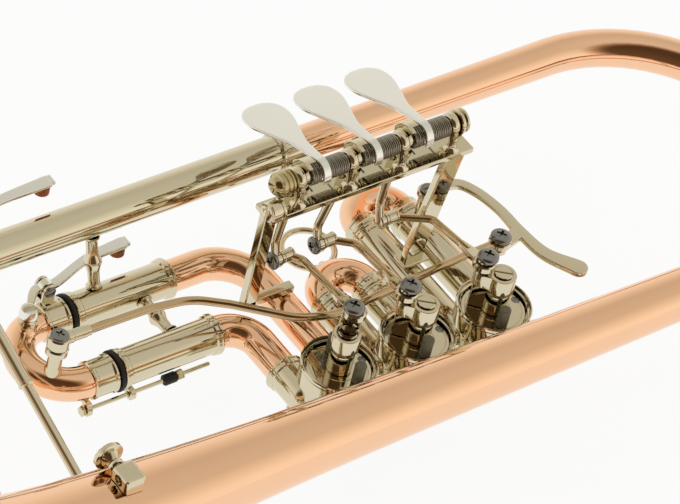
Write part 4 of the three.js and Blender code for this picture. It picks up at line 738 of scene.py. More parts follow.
class TRUMPET_OT_casings(bpy.types.Operator):
    """The three valve casings with their slide ports, the bridges between them and the back caps."""

    bl_idname = "trumpet.casings"
    bl_label = "Valve casings"

    def execute(self, context):
        ends = {1: 59.0, 2: 33.0, 3: 16.5}
        for n, x in VALVE_X.items():
            wall = turned(at(x, 0, 0), UP, [
                (12.2, -13), (12.6, -12.6), (12.6, -6.8), (12.6, 6.6), (12.6, 9),
            ], 64)
            fused(wall, valve_port(n, -1, ends[n]), valve_port(n, 1, ends[n]))
            if n < 3:
                low = x - 6.93
                corner, far_end = at(low - 9.97, -16.9, 0), at(low - 19.94, -6.93, 0)
                bridge = route((at(low, -6.93, 0), 0), (corner, 12), (far_end, 0))
                fused(wall, swept(bridge, size("tube_radius"), sides=TUBE_SIDES))
                carve(wall, rod(at(x - 33.8, 0, -20), at(x - 33.8, 0, 20), 12.9, 64))
            carve(wall, rod(at(x, 0, -20), at(x, 0, 20), 10.8, 64))
            for side in (-1, 1):
                spot = x + side * PORT
                carve(wall, rod(at(spot, 12.9, 0), at(spot, ends[n] + 1, 0), SLEEVE_BORE, TUBE_SIDES, 0.05))
            piece(wall, f"valve_casing_{n}", "nickel_silver", "base", f"casing_{n}")
            cap = turned(at(x, 0, 0), UP, [
                (1.2, -17.9), (3.4, -17.9), (4.0, -17.4), (4.0, -15.9), (12.2, -15.7), (13.4, -15.1),
                (14.0, -14.4), (14.0, -13.2), (13.7, -12.9), (13.7, -12.3), (14.0, -12), (14.0, -11.4),
                (13.6, -11), (12.9, -11), (12.9, -13.3), (1.2, -13.3), (1.2, -17.9),
            ], 64)
            piece(cap, f"valve_back_cap_{n}", "nickel_silver", "base", f"back_cap_{n}")
            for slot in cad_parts[f"rotor_{n}"].material_slots:
                slot.material = FINISH["nickel_silver"]
        return {"FINISHED"}


class TRUMPET_OT_valve_tops(bpy.types.Operator):
    """Rings of the valve tops, bearing plates with their stops and screw, and the stop arms of the rotors."""

    bl_idname = "trumpet.valve_tops"
    bl_label = "Valve tops"

    def execute(self, context):
        for n, x in VALVE_X.items():
            band = turned(at(x, 0, 0), UP, [(13.4655, 7.1), (13.4655, 13.6), (12.8596, 14.1)], 144)
            rim = turned(at(x, 0, 0), UP, [
                (12.9, 12.4), (13.3, 13.9), (13.7, 14.3), (13.7, 15.2), (13.4, 15.6), (13.1, 15.6),
                (12.8, 15.2), (12.6, 14.4), (12.2, 14.2), (12.0, 13.9), (12.0, 12.4),
            ], 96)
            fused(band, rim)
            mouth = rod(at(x, 0, 12.6), at(x, 0, 17), 12.02, 96, 0.01)
            carve(band, mouth, rod(at(x, 0, 0), at(x, 0, 14), 12.9, 96, 0.01))
            piece(band, f"valve_ring_{n}", "nickel_silver", "base", f"knurled_ring_{n}")

            plate = turned(at(x, 0, 0), UP, [
                (3.2, 9.3), (11.7, 9.3), (11.7, 12.7), (11.4, 13.0), (10.5, 13.0), (10.4, 12.85),
                (10.2, 12.85), (10.1, 13.0), (6.5, 13.0), (6.4, 12.85), (6.2, 12.85), (6.1, 13.0),
                (3.2, 13.0), (3.2, 9.3),
            ], 64)
            piece(plate, f"valve_plate_{n}", "nickel_silver", "base", f"bearing_plate_{n}")
            start = stop_turn(n)
            way = -1 if n == 3 else 1
            spread = math.asin(3.9 / 8.2)
            posts = []
            for turn in (start - way * spread, start + way * (math.pi / 2 + spread)):
                post_x, post_y = x + 8.2 * math.cos(turn), 8.2 * math.sin(turn)
                posts.append(rod(at(post_x, post_y, 12.9), at(post_x, post_y, 21.2), 2.1, 32, 0.45))
            piece(joined(*posts), f"valve_stops_{n}", "grey_rubber", "base")
            screw = screw_head(at(x + 10, 0, 12.75), UP, 1.6, 0.5, "slot")
            piece(screw, f"plate_screw_{n}", "screw_steel", "base")
            make_stop_arm(n, x, start)
        return {"FINISHED"}


def stop_turn(n):
    """The turn about a valve's axis at which its stop arm points at rest."""
    return math.radians(45 if n == 3 else 135)


def make_stop_arm(n, x, start):
    """A rotor's stop arm: hub with a slotted screw, side lobe, dog and the ball stud with its screw head."""
    hub = turned(at(x, 0, 0), UP, [
        (4.0, 13.3), (4.4, 13.7), (4.4, 21.4), (4.2, 21.8), (4.2, 22.2), (4.9, 23.2), (5.1, 23.6),
        (5.1, 29.8), (4.8, 30.3),
    ], 48)
    spot = at(x + STUD_REACH * math.cos(start), STUD_REACH * math.sin(start), 0)
    lobe = turned(spot, UP, [(3.5, 24.4), (3.8, 24.7), (3.8, 29.9), (3.4, 30.3)], 40)
    turn = Matrix.Translation(at(x, 0, 0)) @ Matrix.Rotation(start, 4, "Z")
    web = slab((STUD_REACH / 2 * MM, 0, 27.35 * MM), (STUD_REACH * MM, 7.5 * MM, 5.9 * MM), 0.3)
    dog = slab((4.65 * MM, 0, 19.05 * MM), (9.3 * MM, 3.0 * MM, 11.5 * MM), 0.4)
    fused(hub, lobe, settle(web, turn), settle(dog, turn))
    groove = turned(at(x, 0, 0), UP, [(3.3, 29.6), (3.75, 29.6), (3.75, 31), (3.3, 31), (3.3, 29.6)], 48)
    carve(hub, rod(at(x, 0, 12), at(x, 0, 20.9), 3.2, 32), groove)
    piece(hub, f"rotor_arm_{n}", "nickel_silver", f"valve_{n}_body", f"stop_arm_{n}")
    top = turned(at(x, 0, 0), UP, [(3.3, 29.4), (3.3, 30.7), (3.1, 30.9)], 48)
    slot = slab((0, 0, 0), (8 * MM, 0.8 * MM, 1.4 * MM))
    carve(top, settle(slot, Matrix.Translation(at(x, 0, 30.9)) @ Matrix.Rotation(math.radians(-38), 4, "Z")))
    piece(top, f"rotor_screw_{n}", "nickel_silver", f"valve_{n}_body")
    stud = turned(spot, UP, [(1.1, 29.5), (1.1, 35.8)], 20)
    head = screw_head(spot + UP * 35.8 * MM, UP, 3.85, 2.4, "cross")
    piece(joined(stud, head), f"rotor_arm_screws_{n}", "screw_steel", f"valve_{n}_body")


def blade_middle(n):
    """Where a paddle's blade stands along its barrel: a little left of the barrel's middle."""
    return (BARREL_LEFT[n] + CHEEK + BARREL_RIGHT[n]) / 2 - BLADE_SHIFT


def arc_band(x, width, inner, outer, first, last):
    """A curved band round the hinge line, between two angles that are counted from +Y over the top."""
    turns = [math.radians(first + (last - first) * k / 36) for k in range(37)]
    outline = [(outer * math.cos(turn), outer * math.sin(turn)) for turn in turns]
    outline += [(inner * math.cos(turn), inner * math.sin(turn)) for turn in reversed(turns)]
    facing = Matrix(((0, 0, 1), (1, 0, 0), (0, 1, 0))).to_4x4()
    return flat(outline, width, Matrix.Translation(hinge(x)) @ facing, 0.2)


class TRUMPET_OT_paddles(bpy.types.Operator):
    """The three finger paddles, each with its barrel, blade, cheek and lower arm."""

    bl_idname = "trumpet.paddles"
    bl_label = "Finger paddles"

    def execute(self, context):
        thickness = 1.3
        shares = [
            (-0.02, 0.2), (0.12, 0.24), (0.3, 0.34), (0.5, 0.66), (0.68, 0.94), (0.8, 1), (0.9, 0.9),
            (0.97, 0.6), (1, 0.25),
        ]
        steps = [-0.02 + 1.02 * k / 40 for k in range(41)]
        edge = [(8.6 * smooth_between(shares, share), BLADE_LENGTH * share) for share in steps]
        outline = edge + [(-px, py) for px, py in reversed(edge)]
        for n in (1, 2, 3):
            left, right = BARREL_LEFT[n], BARREL_RIGHT[n]
            middle = blade_middle(n)
            leaf_place = (
                Matrix.Translation(hinge(middle))
                @ Matrix.Rotation(math.radians(-BLADE_LEAN), 4, "X")
                @ Matrix.Translation((0, 0, (5.4 - thickness / 2) * MM))
            )
            leaf = flat(outline, thickness, leaf_place, 0.5)
            strap = arc_band(middle, 3.0, 4.1, 5.35, 72, 198)
            neck = block((middle - 1.3, 44.0, 64.2), (middle + 1.3, 47.6, 66.8), 0.3)
            body = f"paddle_{n}_body"
            piece(joined(leaf, strap, neck), f"paddle_blade_{n}", "pale_nickel", body, f"paddle_{n}")
            barrel = turned(hinge(left), ALONG_X, [
                (1.9, 0), (2.7, 0), (2.7, right - left - 0.2), (2.5, right - left), (1.9, right - left),
                (1.9, 0),
            ], 48)
            cheek = arc_band(left + CHEEK / 2, CHEEK, 2.4, 6.2, -62, 118)
            shell = arc_band(left + CHEEK + 1.2, 2.6, 5.2, 6.2, 20, 96)
            low = PIN_X[n]
            end = low - 0.4
            arm = swept(route(
                (at(left + 1.6, 51.0, 63.5), 0), (at(left + 1.6, 49.6, 50), 4), (at(end, 44.6, 34), 4),
                (pin(end), 0),
            ), 1.6, sides=24)
            eye = turned(pin(low - 1.2), ALONG_X, [(2.6, 0), (3.0, 0.4), (3.0, 2.0), (2.6, 2.4)], 32)
            if n == 1:
                carve(eye, rod(pin(low - 2), pin(low - 0.4), 0.9, 24, 0.05))
            axle = rod(pin(low), pin(low + 4.6), 1.5, 24)
            piece(joined(barrel, cheek, shell, arm, eye, axle), f"paddle_arm_{n}", "nickel_silver", body)
            if n > 1:
                head = screw_head(pin(low - 1.2), -ALONG_X, 3.3, 2.0, "cross")
                piece(head, f"paddle_pin_screw_{n}", "screw_steel", body)
        return {"FINISHED"}


class TRUMPET_OT_springs(bpy.types.Operator):
    """The coiled spring of each paddle: two close coils in one wire, either side of the blade's neck."""

    bl_idname = "trumpet.springs"
    bl_label = "Paddle springs"

    def execute(self, context):
        radius, wire, steps, neck, pitch = 3.66, 0.34, 28, 1.7, 0.76
        for n in (1, 2, 3):
            first, last = BARREL_LEFT[n] + CHEEK + 0.4, BARREL_RIGHT[n] - 0.45
            leave, join = blade_middle(n) - neck, blade_middle(n) + neck
            turns_left = round((leave - first) / pitch - 0.75) + 0.75
            turns_right = round((last - join) / pitch - 0.75) + 0.75
            points = [at(first, HINGE_Y - 4.5, HINGE_Z - radius)]
            total = turns_left + 0.5 + turns_right
            for k in range(round(total * steps) + 1):
                turn = k / steps
                if turn <= turns_left:
                    x = first + (leave - first) * turn / turns_left
                elif turn < turns_left + 0.5:
                    x = leave + (join - leave) * (turn - turns_left) / 0.5
                else:
                    x = join + (last - join) * (turn - turns_left - 0.5) / turns_right
                angle = 2 * math.pi * turn + math.pi
                points.append(at(x, HINGE_Y - radius * math.sin(angle), HINGE_Z + radius * math.cos(angle)))
            points.append(at(last, HINGE_Y + 4.5, HINGE_Z - radius))
            coil = swept(points, wire, sides=10)
            piece(coil, f"wound_spring_{n}", "dark_steel", "base", f"paddle_spring_{n}")
        return {"FINISHED"}


class TRUMPET_OT_link_rods(bpy.types.Operator):
    """The link rods between the paddles' lower arms and the rotors."""

    bl_idname = "trumpet.link_rods"
    bl_label = "Link rods"

    def execute(self, context):
        bends = {1: (28.4, 34.4), 2: (-3.8, 36.2), 3: (-25.6, 38.0)}
        eye_z = 33.4
        for n, x in VALVE_X.items():
            stud_x, stud_y = STUD_REACH * math.cos(stop_turn(n)), STUD_REACH * math.sin(stop_turn(n))
            eye_x = x + stud_x + math.copysign(1.1, stud_x)
            eye = at(eye_x, stud_y, eye_z)
            start = PIN_X[n] + 1.5
            bend_x, bend_y = bends[n]
            slope = (eye_z - PIN_Z) / (PIN_Y - stud_y)
            bend = at(bend_x, bend_y, PIN_Z + slope * (PIN_Y - bend_y))
            back = (bend - eye).normalized()
            body = f"link_{n}_body"
            line = route((pin(start + 3.6), 0), (bend, 4.5), (eye + back * 9 * MM, 0))
            shank = swept(line, size("rod_radius"))
            across = UP.cross(back).normalized()
            turn = Matrix((back, across, back.cross(across))).transposed().to_4x4()
            outline = strap_outline([(14, 0), (11, 0), (7.5, 0), (3.8, 0)], [1.2, 1.7, 2.2, 2.3])
            strap = flat(outline, 2.2, Matrix.Translation(eye) @ turn, 0.4)
            piece(shank, f"link_shank_{n}", "brass", body, f"link_rod_{n}")
            collar = turned(pin(start), ALONG_X, [
                (1.8, 0), (2.5, 0), (2.5, 0.5), (2.1, 0.7), (2.1, 1.1), (2.35, 1.3), (2.35, 4.4),
                (2.55, 4.6), (2.55, 5.2), (2.2, 5.5), (0.6, 5.5), (0.6, 3.6), (1.8, 3.6), (1.8, 0),
            ], 32)
            socket = turned(eye, UP, [
                (2.5, -1.5), (3.7, -1.5), (4.1, -1.0), (4.1, 1.0), (3.7, 1.5), (2.5, 1.5), (2.5, -1.5),
            ], 48)
            piece(joined(collar, socket, strap), f"link_socket_{n}", "nickel_silver", body)
        return {"FINISHED"}


def bearing(x):
    """A hinge bearing: a rounded collar on a turned pillar with a flared foot, tied to the base bar."""
    collar = turned(hinge(x - 1.8), ALONG_X, [
        (1.8, 0), (3.3, 0), (3.9, 0.35), (4.2, 0.9), (4.3, 1.5), (4.3, 2.1), (4.2, 2.7), (3.9, 3.25),
        (3.3, 3.6), (1.8, 3.6), (1.8, 0),
    ], 48)
    pillar = turned(at(x, 42.0, 52.6), UP, [
        (2.9, 0), (2.9, 0.4), (2.4, 0.9), (1.8, 1.8), (1.5, 3.2), (1.55, 4.4), (1.8, 5.6), (2.2, 6.8),
        (2.5, 8.2),
    ], 32)
    return [collar, pillar]


class TRUMPET_OT_frame(bpy.types.Operator):
    """The paddle frame: base bar, bearings, legs and feet, with the hinge rod and its end pieces."""

    bl_idname = "trumpet.frame"
    bl_label = "Paddle frame"

    def execute(self, context):
        deck = block((-43.5, 38.8, 50.6), (44, 48.4, 53), 0.35)
        for left in BARREL_LEFT.values():
            carve(deck, block((left - 0.5, 44.3, 50), (left + 3.7, 49, 54), 0))
        parts = [deck]
        for x in BEARINGS:
            parts += bearing(x)
        parts.append(block((-43.7, 41.8, 6.6), (-38.3, 45.4, 51.6), 0.5))
        parts.append(block((-43.7, 41.8, 6.35), (-22.1, 45.4, 9.7), 0.6))
        ankle, toe = at(26, 37, 13.95), at(26, 37, 6.95)
        parts.append(strut(at(38, 41.5, 51.6), ankle, 8.2, 3.0, 0.5))
        parts.append(strut(ankle, toe, 8.2, 3.0, 0.5))
        parts.append(rod(at(26, 35.5, 13.95), at(26, 38.5, 13.95), 4.1, 32, 0.4))
        parts.append(block((20.5, 33.5, 6.98), (31.5, 40.5, 8.5), 0.5))
        piece(joined(*parts), "paddle_stand", "nickel_silver", "base", "paddle_frame")
        screw = turned(at(-44.5, 40.5, 55.8), ALONG_X, [
            (3.5, 0), (3.8, 0.3), (3.8, 3.4), (3.3, 3.6), (3.3, 4.3), (3.8, 4.5), (3.8, 5.3), (3.5, 5.6),
        ], 40)
        head = screw_head(at(-44.4, 40.5, 55.8), -ALONG_X, 3.6, 0.9, "slot")
        lug = block((-43.7, 40.4, 50.8), (-39.5, 44.2, 55.8), 0.4)
        piece(joined(screw, head, lug), "paddle_stand_screw", "nickel_silver", "base")

        left, right = -32.4, 38.1
        dome = [
            (0.5, -8.7), (1.6, -8.6), (2.6, -8.2), (3.3, -7.5), (3.6, -6.7), (3.7, -6.4), (4.5, -6.1),
            (4.6, -5.7), (4.6, -4.9), (4.1, -4.6), (4.1, -4.2), (4.6, -3.9), (4.6, -2.9), (3.9, -2.5),
            (3.9, -2.1), (4.4, -1.9), (4.4, -1.3), (3.2, -1.0), (3.2, -0.4), (4.2, -0.3), (4.2, 0),
        ]
        disc = [
            (4.5, 0), (4.8, 0.3), (4.8, 1.3), (4.5, 1.6), (3.6, 1.8), (3.6, 2.2), (4.5, 2.5), (4.5, 3.2),
            (4.1, 3.6), (3.0, 4.1), (1.2, 4.4),
        ]
        shapes = [
            turned(hinge(left), ALONG_X, dome, 48),
            rod(hinge(left - 0.5), hinge(right + 0.5), 1.5, 24),
            turned(hinge(right), ALONG_X, disc, 48),
        ]
        piece(joined(*shapes[1:]), "hinge_rod_end", "nickel_silver", "base", "hinge_rod")
        piece(shapes[0], "hinge_rod_cap", "olive_brass", "base")
        return {"FINISHED"}


class TRUMPET_OT_valve_slides(bpy.types.Operator):
    """The first and second slides with their ferrules, and the second slide's pull ring."""

    bl_idname = "trumpet.valve_slides"
    bl_label = "First and second slides"

    def execute(self, context):
        for n, name, inside, sleeve_end, bend_start in (
            (1, "first", 21, 59, 64.3), (2, "second", 19, 33, 38.3)
        ):
            x = VALVE_X[n]
            body = f"{name}_slide_body"
            points = [at(x - PORT, inside, 0), at(x - PORT, bend_start - 0.5, 0)]
            points += half_turn(at(x, bend_start, 0), -ALONG_X, ALONG_Y, PORT)
            points += [at(x + PORT, bend_start - 0.5, 0), at(x + PORT, inside, 0)]
            piece(crook_tube(points), f"{name}_slide_crook", "gold_brass", body, f"{name}_slide")
            start, cap_length = sleeve_end + 0.4, bend_start - sleeve_end - 0.4
            caps = [cap_ferrule(at(x + side * PORT, start, 0), ALONG_Y, cap_length) for side in (-1, 1)]
            piece(joined(*caps), f"{name}_slide_ferrules", "nickel_silver", body)
        apex = 38.3 + PORT + 6.0
        pull = ring(at(0, apex + 9.0, 0), UP, 9.6, 1.2, 72, 18)
        foot = ball(at(0, apex - 0.4, 0), 1.9)
        piece(joined(pull, foot), "second_slide_ring", "nickel_silver", "second_slide_body")
        return {"FINISHED"}


def water_key(prefix, pivot_x, reach, tube_y, tube_z, foot_y, foot_z, key_body, slide_body, node):
    """A water key with its cup and cork, and the bracket and nipple that it works on."""
    hub_y, hub_z = tube_y + 5.5, tube_z + 11.6
    outline = strap_outline(
        [(pivot_x - 11, foot_y), (pivot_x - 4.2, hub_y), (pivot_x + 4.2, hub_y),
         (pivot_x + 0.55 * reach, hub_y + 5.2), (pivot_x + reach - 1.2, hub_y + 6.5)],
        [1.3, 1.6, 1.8, 1.8, 2.5],
    )
    lever = flat(outline, 1.5, Matrix.Translation(at(0, 0, hub_z)), 0.3)
    tip = pivot_x + reach
    lip = block((tip - 0.4, hub_y + 4.4, hub_z - 0.6), (tip + 1.2, hub_y + 8.6, hub_z + 1.0), 0.4)
    barrel = turned(at(pivot_x, hub_y - 1.6, hub_z), ALONG_Y, [
        (1.6, 0), (2.5, 0), (2.8, 0.3), (2.8, 2.9), (2.5, 3.2), (1.6, 3.2), (1.6, 0),
    ], 32)
    cup_low = foot_z + 8.5
    cup = turned(at(pivot_x - 11, foot_y, 0), UP, [
        (2.9, cup_low), (3.4, cup_low + 0.4), (3.4, cup_low + 1.8), (2.9, hub_z + 0.6), (1.6, hub_z + 1.0),
    ], 36)
    piece(joined(lever, lip, barrel, cup), f"{prefix}_key_lever", "pale_nickel", key_body, node)
    cork = turned(at(tip - 2.8, hub_y + 6.5, 0), UP, [
        (2.5, hub_z - 4.2), (2.8, hub_z - 3.9), (2.8, hub_z - 1.0),
    ], 32)
    piece(cork, f"{prefix}_key_cork", "cork", key_body)

    low, high = tube_z + 4, tube_z + 7.4
    parts = [block((pivot_x - 2.5, tube_y, low), (pivot_x + 2.5, hub_y + 3.1, high), 0.4)]
    for inner in (hub_y - 3.1, hub_y + 1.9):
        parts.append(block((pivot_x - 2.5, inner, low + 0.5), (pivot_x + 2.5, inner + 1.2, hub_z), 0.25))
        cheek = [(2.3, 0), (2.5, 0.2), (2.5, 1.0), (2.3, 1.2)]
        parts.append(turned(at(pivot_x, inner, hub_z), ALONG_Y, cheek, 32))
    parts.append(rod(at(pivot_x, hub_y - 3.0, hub_z), at(pivot_x, hub_y + 3.0, hub_z), 1.3, 20))
    parts.append(turned(at(pivot_x - 11, foot_y, foot_z), UP, [
        (1.4, 5.4), (3.2, 5.4), (3.2, 6.2), (2.6, 6.8), (2.6, 7.6), (3.0, 7.8), (3.0, 8.2), (1.4, 8.2),
        (1.4, 5.4),
    ], 32))
    piece(joined(*parts), f"{prefix}_key_bracket", "nickel_silver", slide_body)
    head = screw_head(at(pivot_x, hub_y - 3.1, hub_z), -ALONG_Y, 2.2, 0.9, "slot")
    piece(head, f"{prefix}_key_screw", "screw_steel", slide_body)


class TRUMPET_OT_water_keys(bpy.types.Operator):
    """The two water keys."""

    bl_idname = "trumpet.water_keys"
    bl_label = "Water keys"

    def execute(self, context):
        water_key(
            "third", -104, 37.4, REAR_Y, 0, 70.42, 0, "third_key_body", "third_slide_body", "water_key_third",
        )
        water_key(
            "main", -148.2, 52.5, FAR_Y, FAR_Z, 82.91, 30.98, "main_key_body", "main_slide_body",
            "water_key_main",
        )
        return {"FINISHED"}


def stop_eye(x):
    """An eye that the third slide's stop rod runs through."""
    return turned(at(x, STOP_Y, STOP_Z), ALONG_X, [
        (1.1, 0), (2.2, 0), (2.4, 0.2), (2.4, 1.8), (2.2, 2), (1.1, 2), (1.1, 0),
    ], 32)


def post_foot():
    """Where the trigger's post stands on the third slide's bend."""
    way = Vector((-math.sin(POST_TURN), math.cos(POST_TURN), 0))
    return at(*THIRD_BEND, 0) + way * THIRD_BEND_RADIUS * MM


class TRUMPET_OT_third_slide(bpy.types.Operator):
    """The third slide: its tubes from the valve, sleeves, rubber rings, crook, stop rod and lugs."""

    bl_idname = "trumpet.third_slide"
    bl_label = "Third slide"

    def execute(self, context):
        tubes = (("a", "rear", -24.8, REAR_Y, 17.5), ("b", "front", -42.8, FRONT_Y, 11))
        for letter, name, x, y, radius in tubes:
            points = route((at(x, 16.8, 0), 0), (at(x, y, 0), radius), (at(-54.7, y, 0), 0))
            tube = swept(points, size("tube_radius"), sides=TUBE_SIDES, wall=0.5)
            piece(tube, f"third_branch_{name}", "gold_brass", "base", f"third_tube_{letter}")
            sleeve = sleeve_on(at(-96, y, 0), ALONG_X, 41)
            if letter == "b":
                web = block((-93, 35.6, -6.4), (-91, 41.0, -5.7), 0.2)
                sleeve = joined(sleeve, stop_eye(-93), web)
            piece(sleeve, f"third_sleeve_{name}", "nickel_silver", "base", f"third_sleeve_{letter}")
            band = turned(at(-97.9, y, 0), ALONG_X, [
                (6.05, 0), (7.1, 0), (7.45, 0.25), (7.55, 0.6), (7.55, 1), (7.45, 1.35), (7.1, 1.6),
                (6.05, 1.6), (6.05, 0),
            ])
            piece(band, f"third_buffer_{name}", "rubber", "third_slide_body", f"third_rubber_{letter}")

        points = [at(-60, REAR_Y, 0), at(-107.8, REAR_Y, 0)]
        points += half_turn(at(*THIRD_BEND, 0), ALONG_Y, -ALONG_X, THIRD_BEND_RADIUS)
        points += [at(-107.8, FRONT_Y, 0), at(-60, FRONT_Y, 0)]
        piece(crook_tube(points), "third_slide_crook", "gold_brass", "third_slide_body", "third_slide")
        caps = [cap_ferrule(at(-98.5, y, 0), -ALONG_X, 9.6) for y in (REAR_Y, FRONT_Y)]
        post = turned(post_foot(), UP, [
            (3.2, 3.5), (3.2, 6.0), (2.9, 7.2), (2.6, 8.6), (2.6, 13.6), (3.2, 14.2), (3.9, 14.6),
            (4.0, 17.0), (3.6, 17.4),
        ], 40)
        web = block((-111, 35.6, -6.4), (-109, 40.4, -4.6), 0.2)
        fittings = joined(*caps, post, stop_eye(-111), web)
        piece(fittings, "third_slide_fittings", "nickel_silver", "third_slide_body")

        stop = turned(at(-112.8, STOP_Y, STOP_Z), ALONG_X, [(1.6, 0), (2.0, 0.3), (2.0, 1.2), (1.6, 1.5)], 6)
        wire = rod(at(-112.3, STOP_Y, STOP_Z), at(-59, STOP_Y, STOP_Z), 0.8, 20)
        nut = turned(at(-73.0, STOP_Y, STOP_Z), ALONG_X, [(1.8, 0), (2.0, 0.3), (2.0, 2.2), (1.8, 2.6)], 6)
        stop_rod = joined(stop, wire, nut)
        piece(stop_rod, "third_stop_wire", "nickel_silver", "third_slide_body", "third_stop_rod")
        pad = turned(at(-78.4, STOP_Y, STOP_Z), ALONG_X, [(1.6, 0), (2.0, 0.4), (2.0, 4.8), (1.6, 5.2)], 32)
        piece(pad, "third_stop_pad", "rubber", "third_slide_body")
        return {"FINISHED"}


class TRUMPET_OT_trigger(bpy.types.Operator):
    """The third slide's trigger: lever, its pillar and the long bent rod."""

    bl_idname = "trumpet.trigger"
    bl_label = "Trigger"

    def execute(self, context):
        level = 20.4
        stud = at(50.3, 20.7, 0)
        end = post_foot() + UP * level * MM
        bends = [(34, 20.4), (-8, 17.4), (-25, 16.2), (-38, 20.4), (-56, 36.2), (-67, 44), (-83, 46.4)]
        corners = [(at(47.0, 20.7, level), 0)] + [(at(x, y, level), 22) for x, y in bends] + [(end, 0)]
        shank = swept(route(*corners), 1.5, sides=24)
        piece(shank, "trigger_long_rod", "brass", "third_slide_body", "trigger_rod")
        inward = (at(-83, 46.4, level) - end).normalized()
        socket = turned(end, inward, [
            (2.4, 2.5), (2.4, 5.0), (2.15, 5.3), (2.15, 10.4), (1.95, 10.6), (1.95, 12.2), (1.6, 12.5),
        ], 24)
        eye = turned(stud + UP * level * MM, UP, [
            (2.5, -1.2), (3.7, -1.2), (4.1, -0.8), (4.1, 0.8), (3.7, 1.2), (2.5, 1.2), (2.5, -1.2),
        ], 48)
        cap = turned(end, UP, [(3.5, -2.7), (3.85, -2.3), (3.85, 1.6), (3.5, 2.0)], 40)
        dome = screw_head(end + UP * 1.9 * MM, UP, 3.3, 1.5, "cross")
        piece(joined(socket, eye, cap), "trigger_rod_sockets", "nickel_silver", "third_slide_body")
        piece(dome, "trigger_rod_screw", "screw_steel", "third_slide_body")

        path = [(44, 54.5), (55.5, 54), (60.4, 47.5), (62.8, 36), (62.8, 24), (64.4, 11), (71, 0)]
        lever_place = Matrix.Translation(at(0, 0, 17.2))
        strap = flat(strap_outline(path, [2, 2, 1.9, 1.9, 2.2, 2.6, 3.6]), 2.2, lever_place, 0.45)
        branch_outline = strap_outline([(62.8, 24), (56.5, 22.3), (50.3, 20.7)], [2.8, 2.6, 2.6])
        branch = flat(branch_outline, 2.16, lever_place, 0.45)
        hub = turned(at(44, 54.5, 0), UP, [
            (2.1, 16.1), (3.7, 16.1), (4.0, 16.4), (4.0, 18.0), (3.7, 18.3), (2.1, 18.3), (2.1, 16.1),
        ], 40)
        carve(strap, rod(at(44, 54.5, 12), at(44, 54.5, 22), 2.1, 32))
        pad = turned(stud, UP, [(2.9, 16.1), (3.2, 16.4), (3.2, 18.0), (2.9, 18.3)], 32)
        lever = joined(strap, branch, hub, pad)
        piece(lever, "trigger_lever_strap", "nickel_silver", "trigger_body", "trigger_lever")
        shaft = turned(stud, UP, [(1.1, 17.5), (1.1, 22.1)], 20)
        head = screw_head(stud + UP * 22.2 * MM, UP, 3.85, 2.4, "cross")
        piece(joined(shaft, head), "trigger_lever_screw", "screw_steel", "trigger_body")

        saddle = block((38.8, 50.5, 6.95), (47.8, 55.7, 8.95), 0.5)
        pillar = turned(at(44, 54.5, 0), UP, [
            (3.0, 8.0), (3.0, 14.4), (3.3, 15.0), (3.3, 15.4), (3.0, 15.8), (1.8, 15.8), (1.8, 18.6),
            (3.0, 18.6),
        ], 36)
        piece(joined(saddle, pillar), "trigger_pillar", "nickel_silver", "base", "trigger_bracket")
        head = screw_head(at(44, 54.5, 18.6), UP, 3.0, 1.3, "slot")
        piece(head, "trigger_pillar_screw", "screw_steel", "base")
        return {"FINISHED"}


def bell_radius(x):
    """The bell's outside radius along its straight part, from the first rows of the flare."""
    reach = 401.6
    return smooth_between(FLARE[:6], (BOW_X - x) / reach)


class TRUMPET_OT_stays(bpy.types.Operator):
    """The turned stays between neighbouring tubes."""

    bl_idname = "trumpet.stays"
    bl_label = "Stays"

    def execute(self, context):
        tube, sleeve = size("tube_radius"), size("sleeve_radius")
        spans = [
            ("stay_far_to_third", far(-84.8), at(-84.8, REAR_Y, 0), sleeve, sleeve),
            ("stay_third", at(-68.5, REAR_Y, 0), at(-68.5, FRONT_Y, 0), sleeve, sleeve),
            ("stay_bell_to_lead", bell(74), lead(74), bell_radius(74), tube),
            ("stay_bell_to_main", bell(-76), lead(-76), bell_radius(-76), sleeve),
        ]
        for node, begin, finish, start_radius, end_radius in spans:
            axis = (finish - begin).normalized()
            length = (finish - begin).length / MM - start_radius - end_radius - 0.6
            half = length / 2
            profile = [
                (3.0, 0), (3.0, 0.6), (2.7, 1.0), (2.3, 1.3), (2.1, 1.6), (2.2, half * 0.6),
                (2.7, half * 0.8), (3.2, half - 0.6), (3.3, half - 0.2),
            ]
            profile += mirrored(profile, length)
            spindle = turned(begin + axis * (start_radius + 0.3) * MM, axis, profile, 32)
            piece(spindle, f"spindle_{node}", "nickel_silver", "base", node)
        return {"FINISHED"}


class TRUMPET_OT_lyre(bpy.types.Operator):
    """The lyre socket on the bell, with its thumb screw."""

    bl_idname = "trumpet.lyre"
    bl_label = "Lyre socket"

    def execute(self, context):
        bore_y, bore_z, screw_x = -36.5, 50.27, -153
        body = block((-156, -41, 43.3), (-148, -32, 52.97), 1.2)
        bed = [(bell_radius(-130 - height) + 0.3, height) for height in (0, 12, 24, 36)]
        cone = turned(bell(-130), -ALONG_X, bed, 64)
        bore = rod(at(-160, bore_y, bore_z), at(-142, bore_y, bore_z), 2.0, 32)
        hole = rod(at(screw_x, bore_y, bore_z), at(screw_x, -26, bore_z), 1.9, 24)
        carve(body, cone, bore, hole)
        piece(body, "lyre_holder", "nickel_silver", "base", "lyre_socket")
        screw = turned(at(screw_x, bore_y, bore_z), ALONG_Y, [
            (1.2, 0), (1.6, 0.4), (1.6, 5), (2.4, 5.1), (2.7, 5.4), (2.7, 6.4), (2.3, 7.0), (2.5, 8.0),
            (3.4, 9.2), (4.9, 9.6), (5.3, 9.9), (5.3, 11.2), (4.9, 11.6), (4.2, 11.6), (4.0, 11.3),
            (0.8, 11.3),
        ], 48)
        piece(screw, "lyre_thumb_screw", "nickel_silver", "base", "lyre_screw")
        return {"FINISHED"}


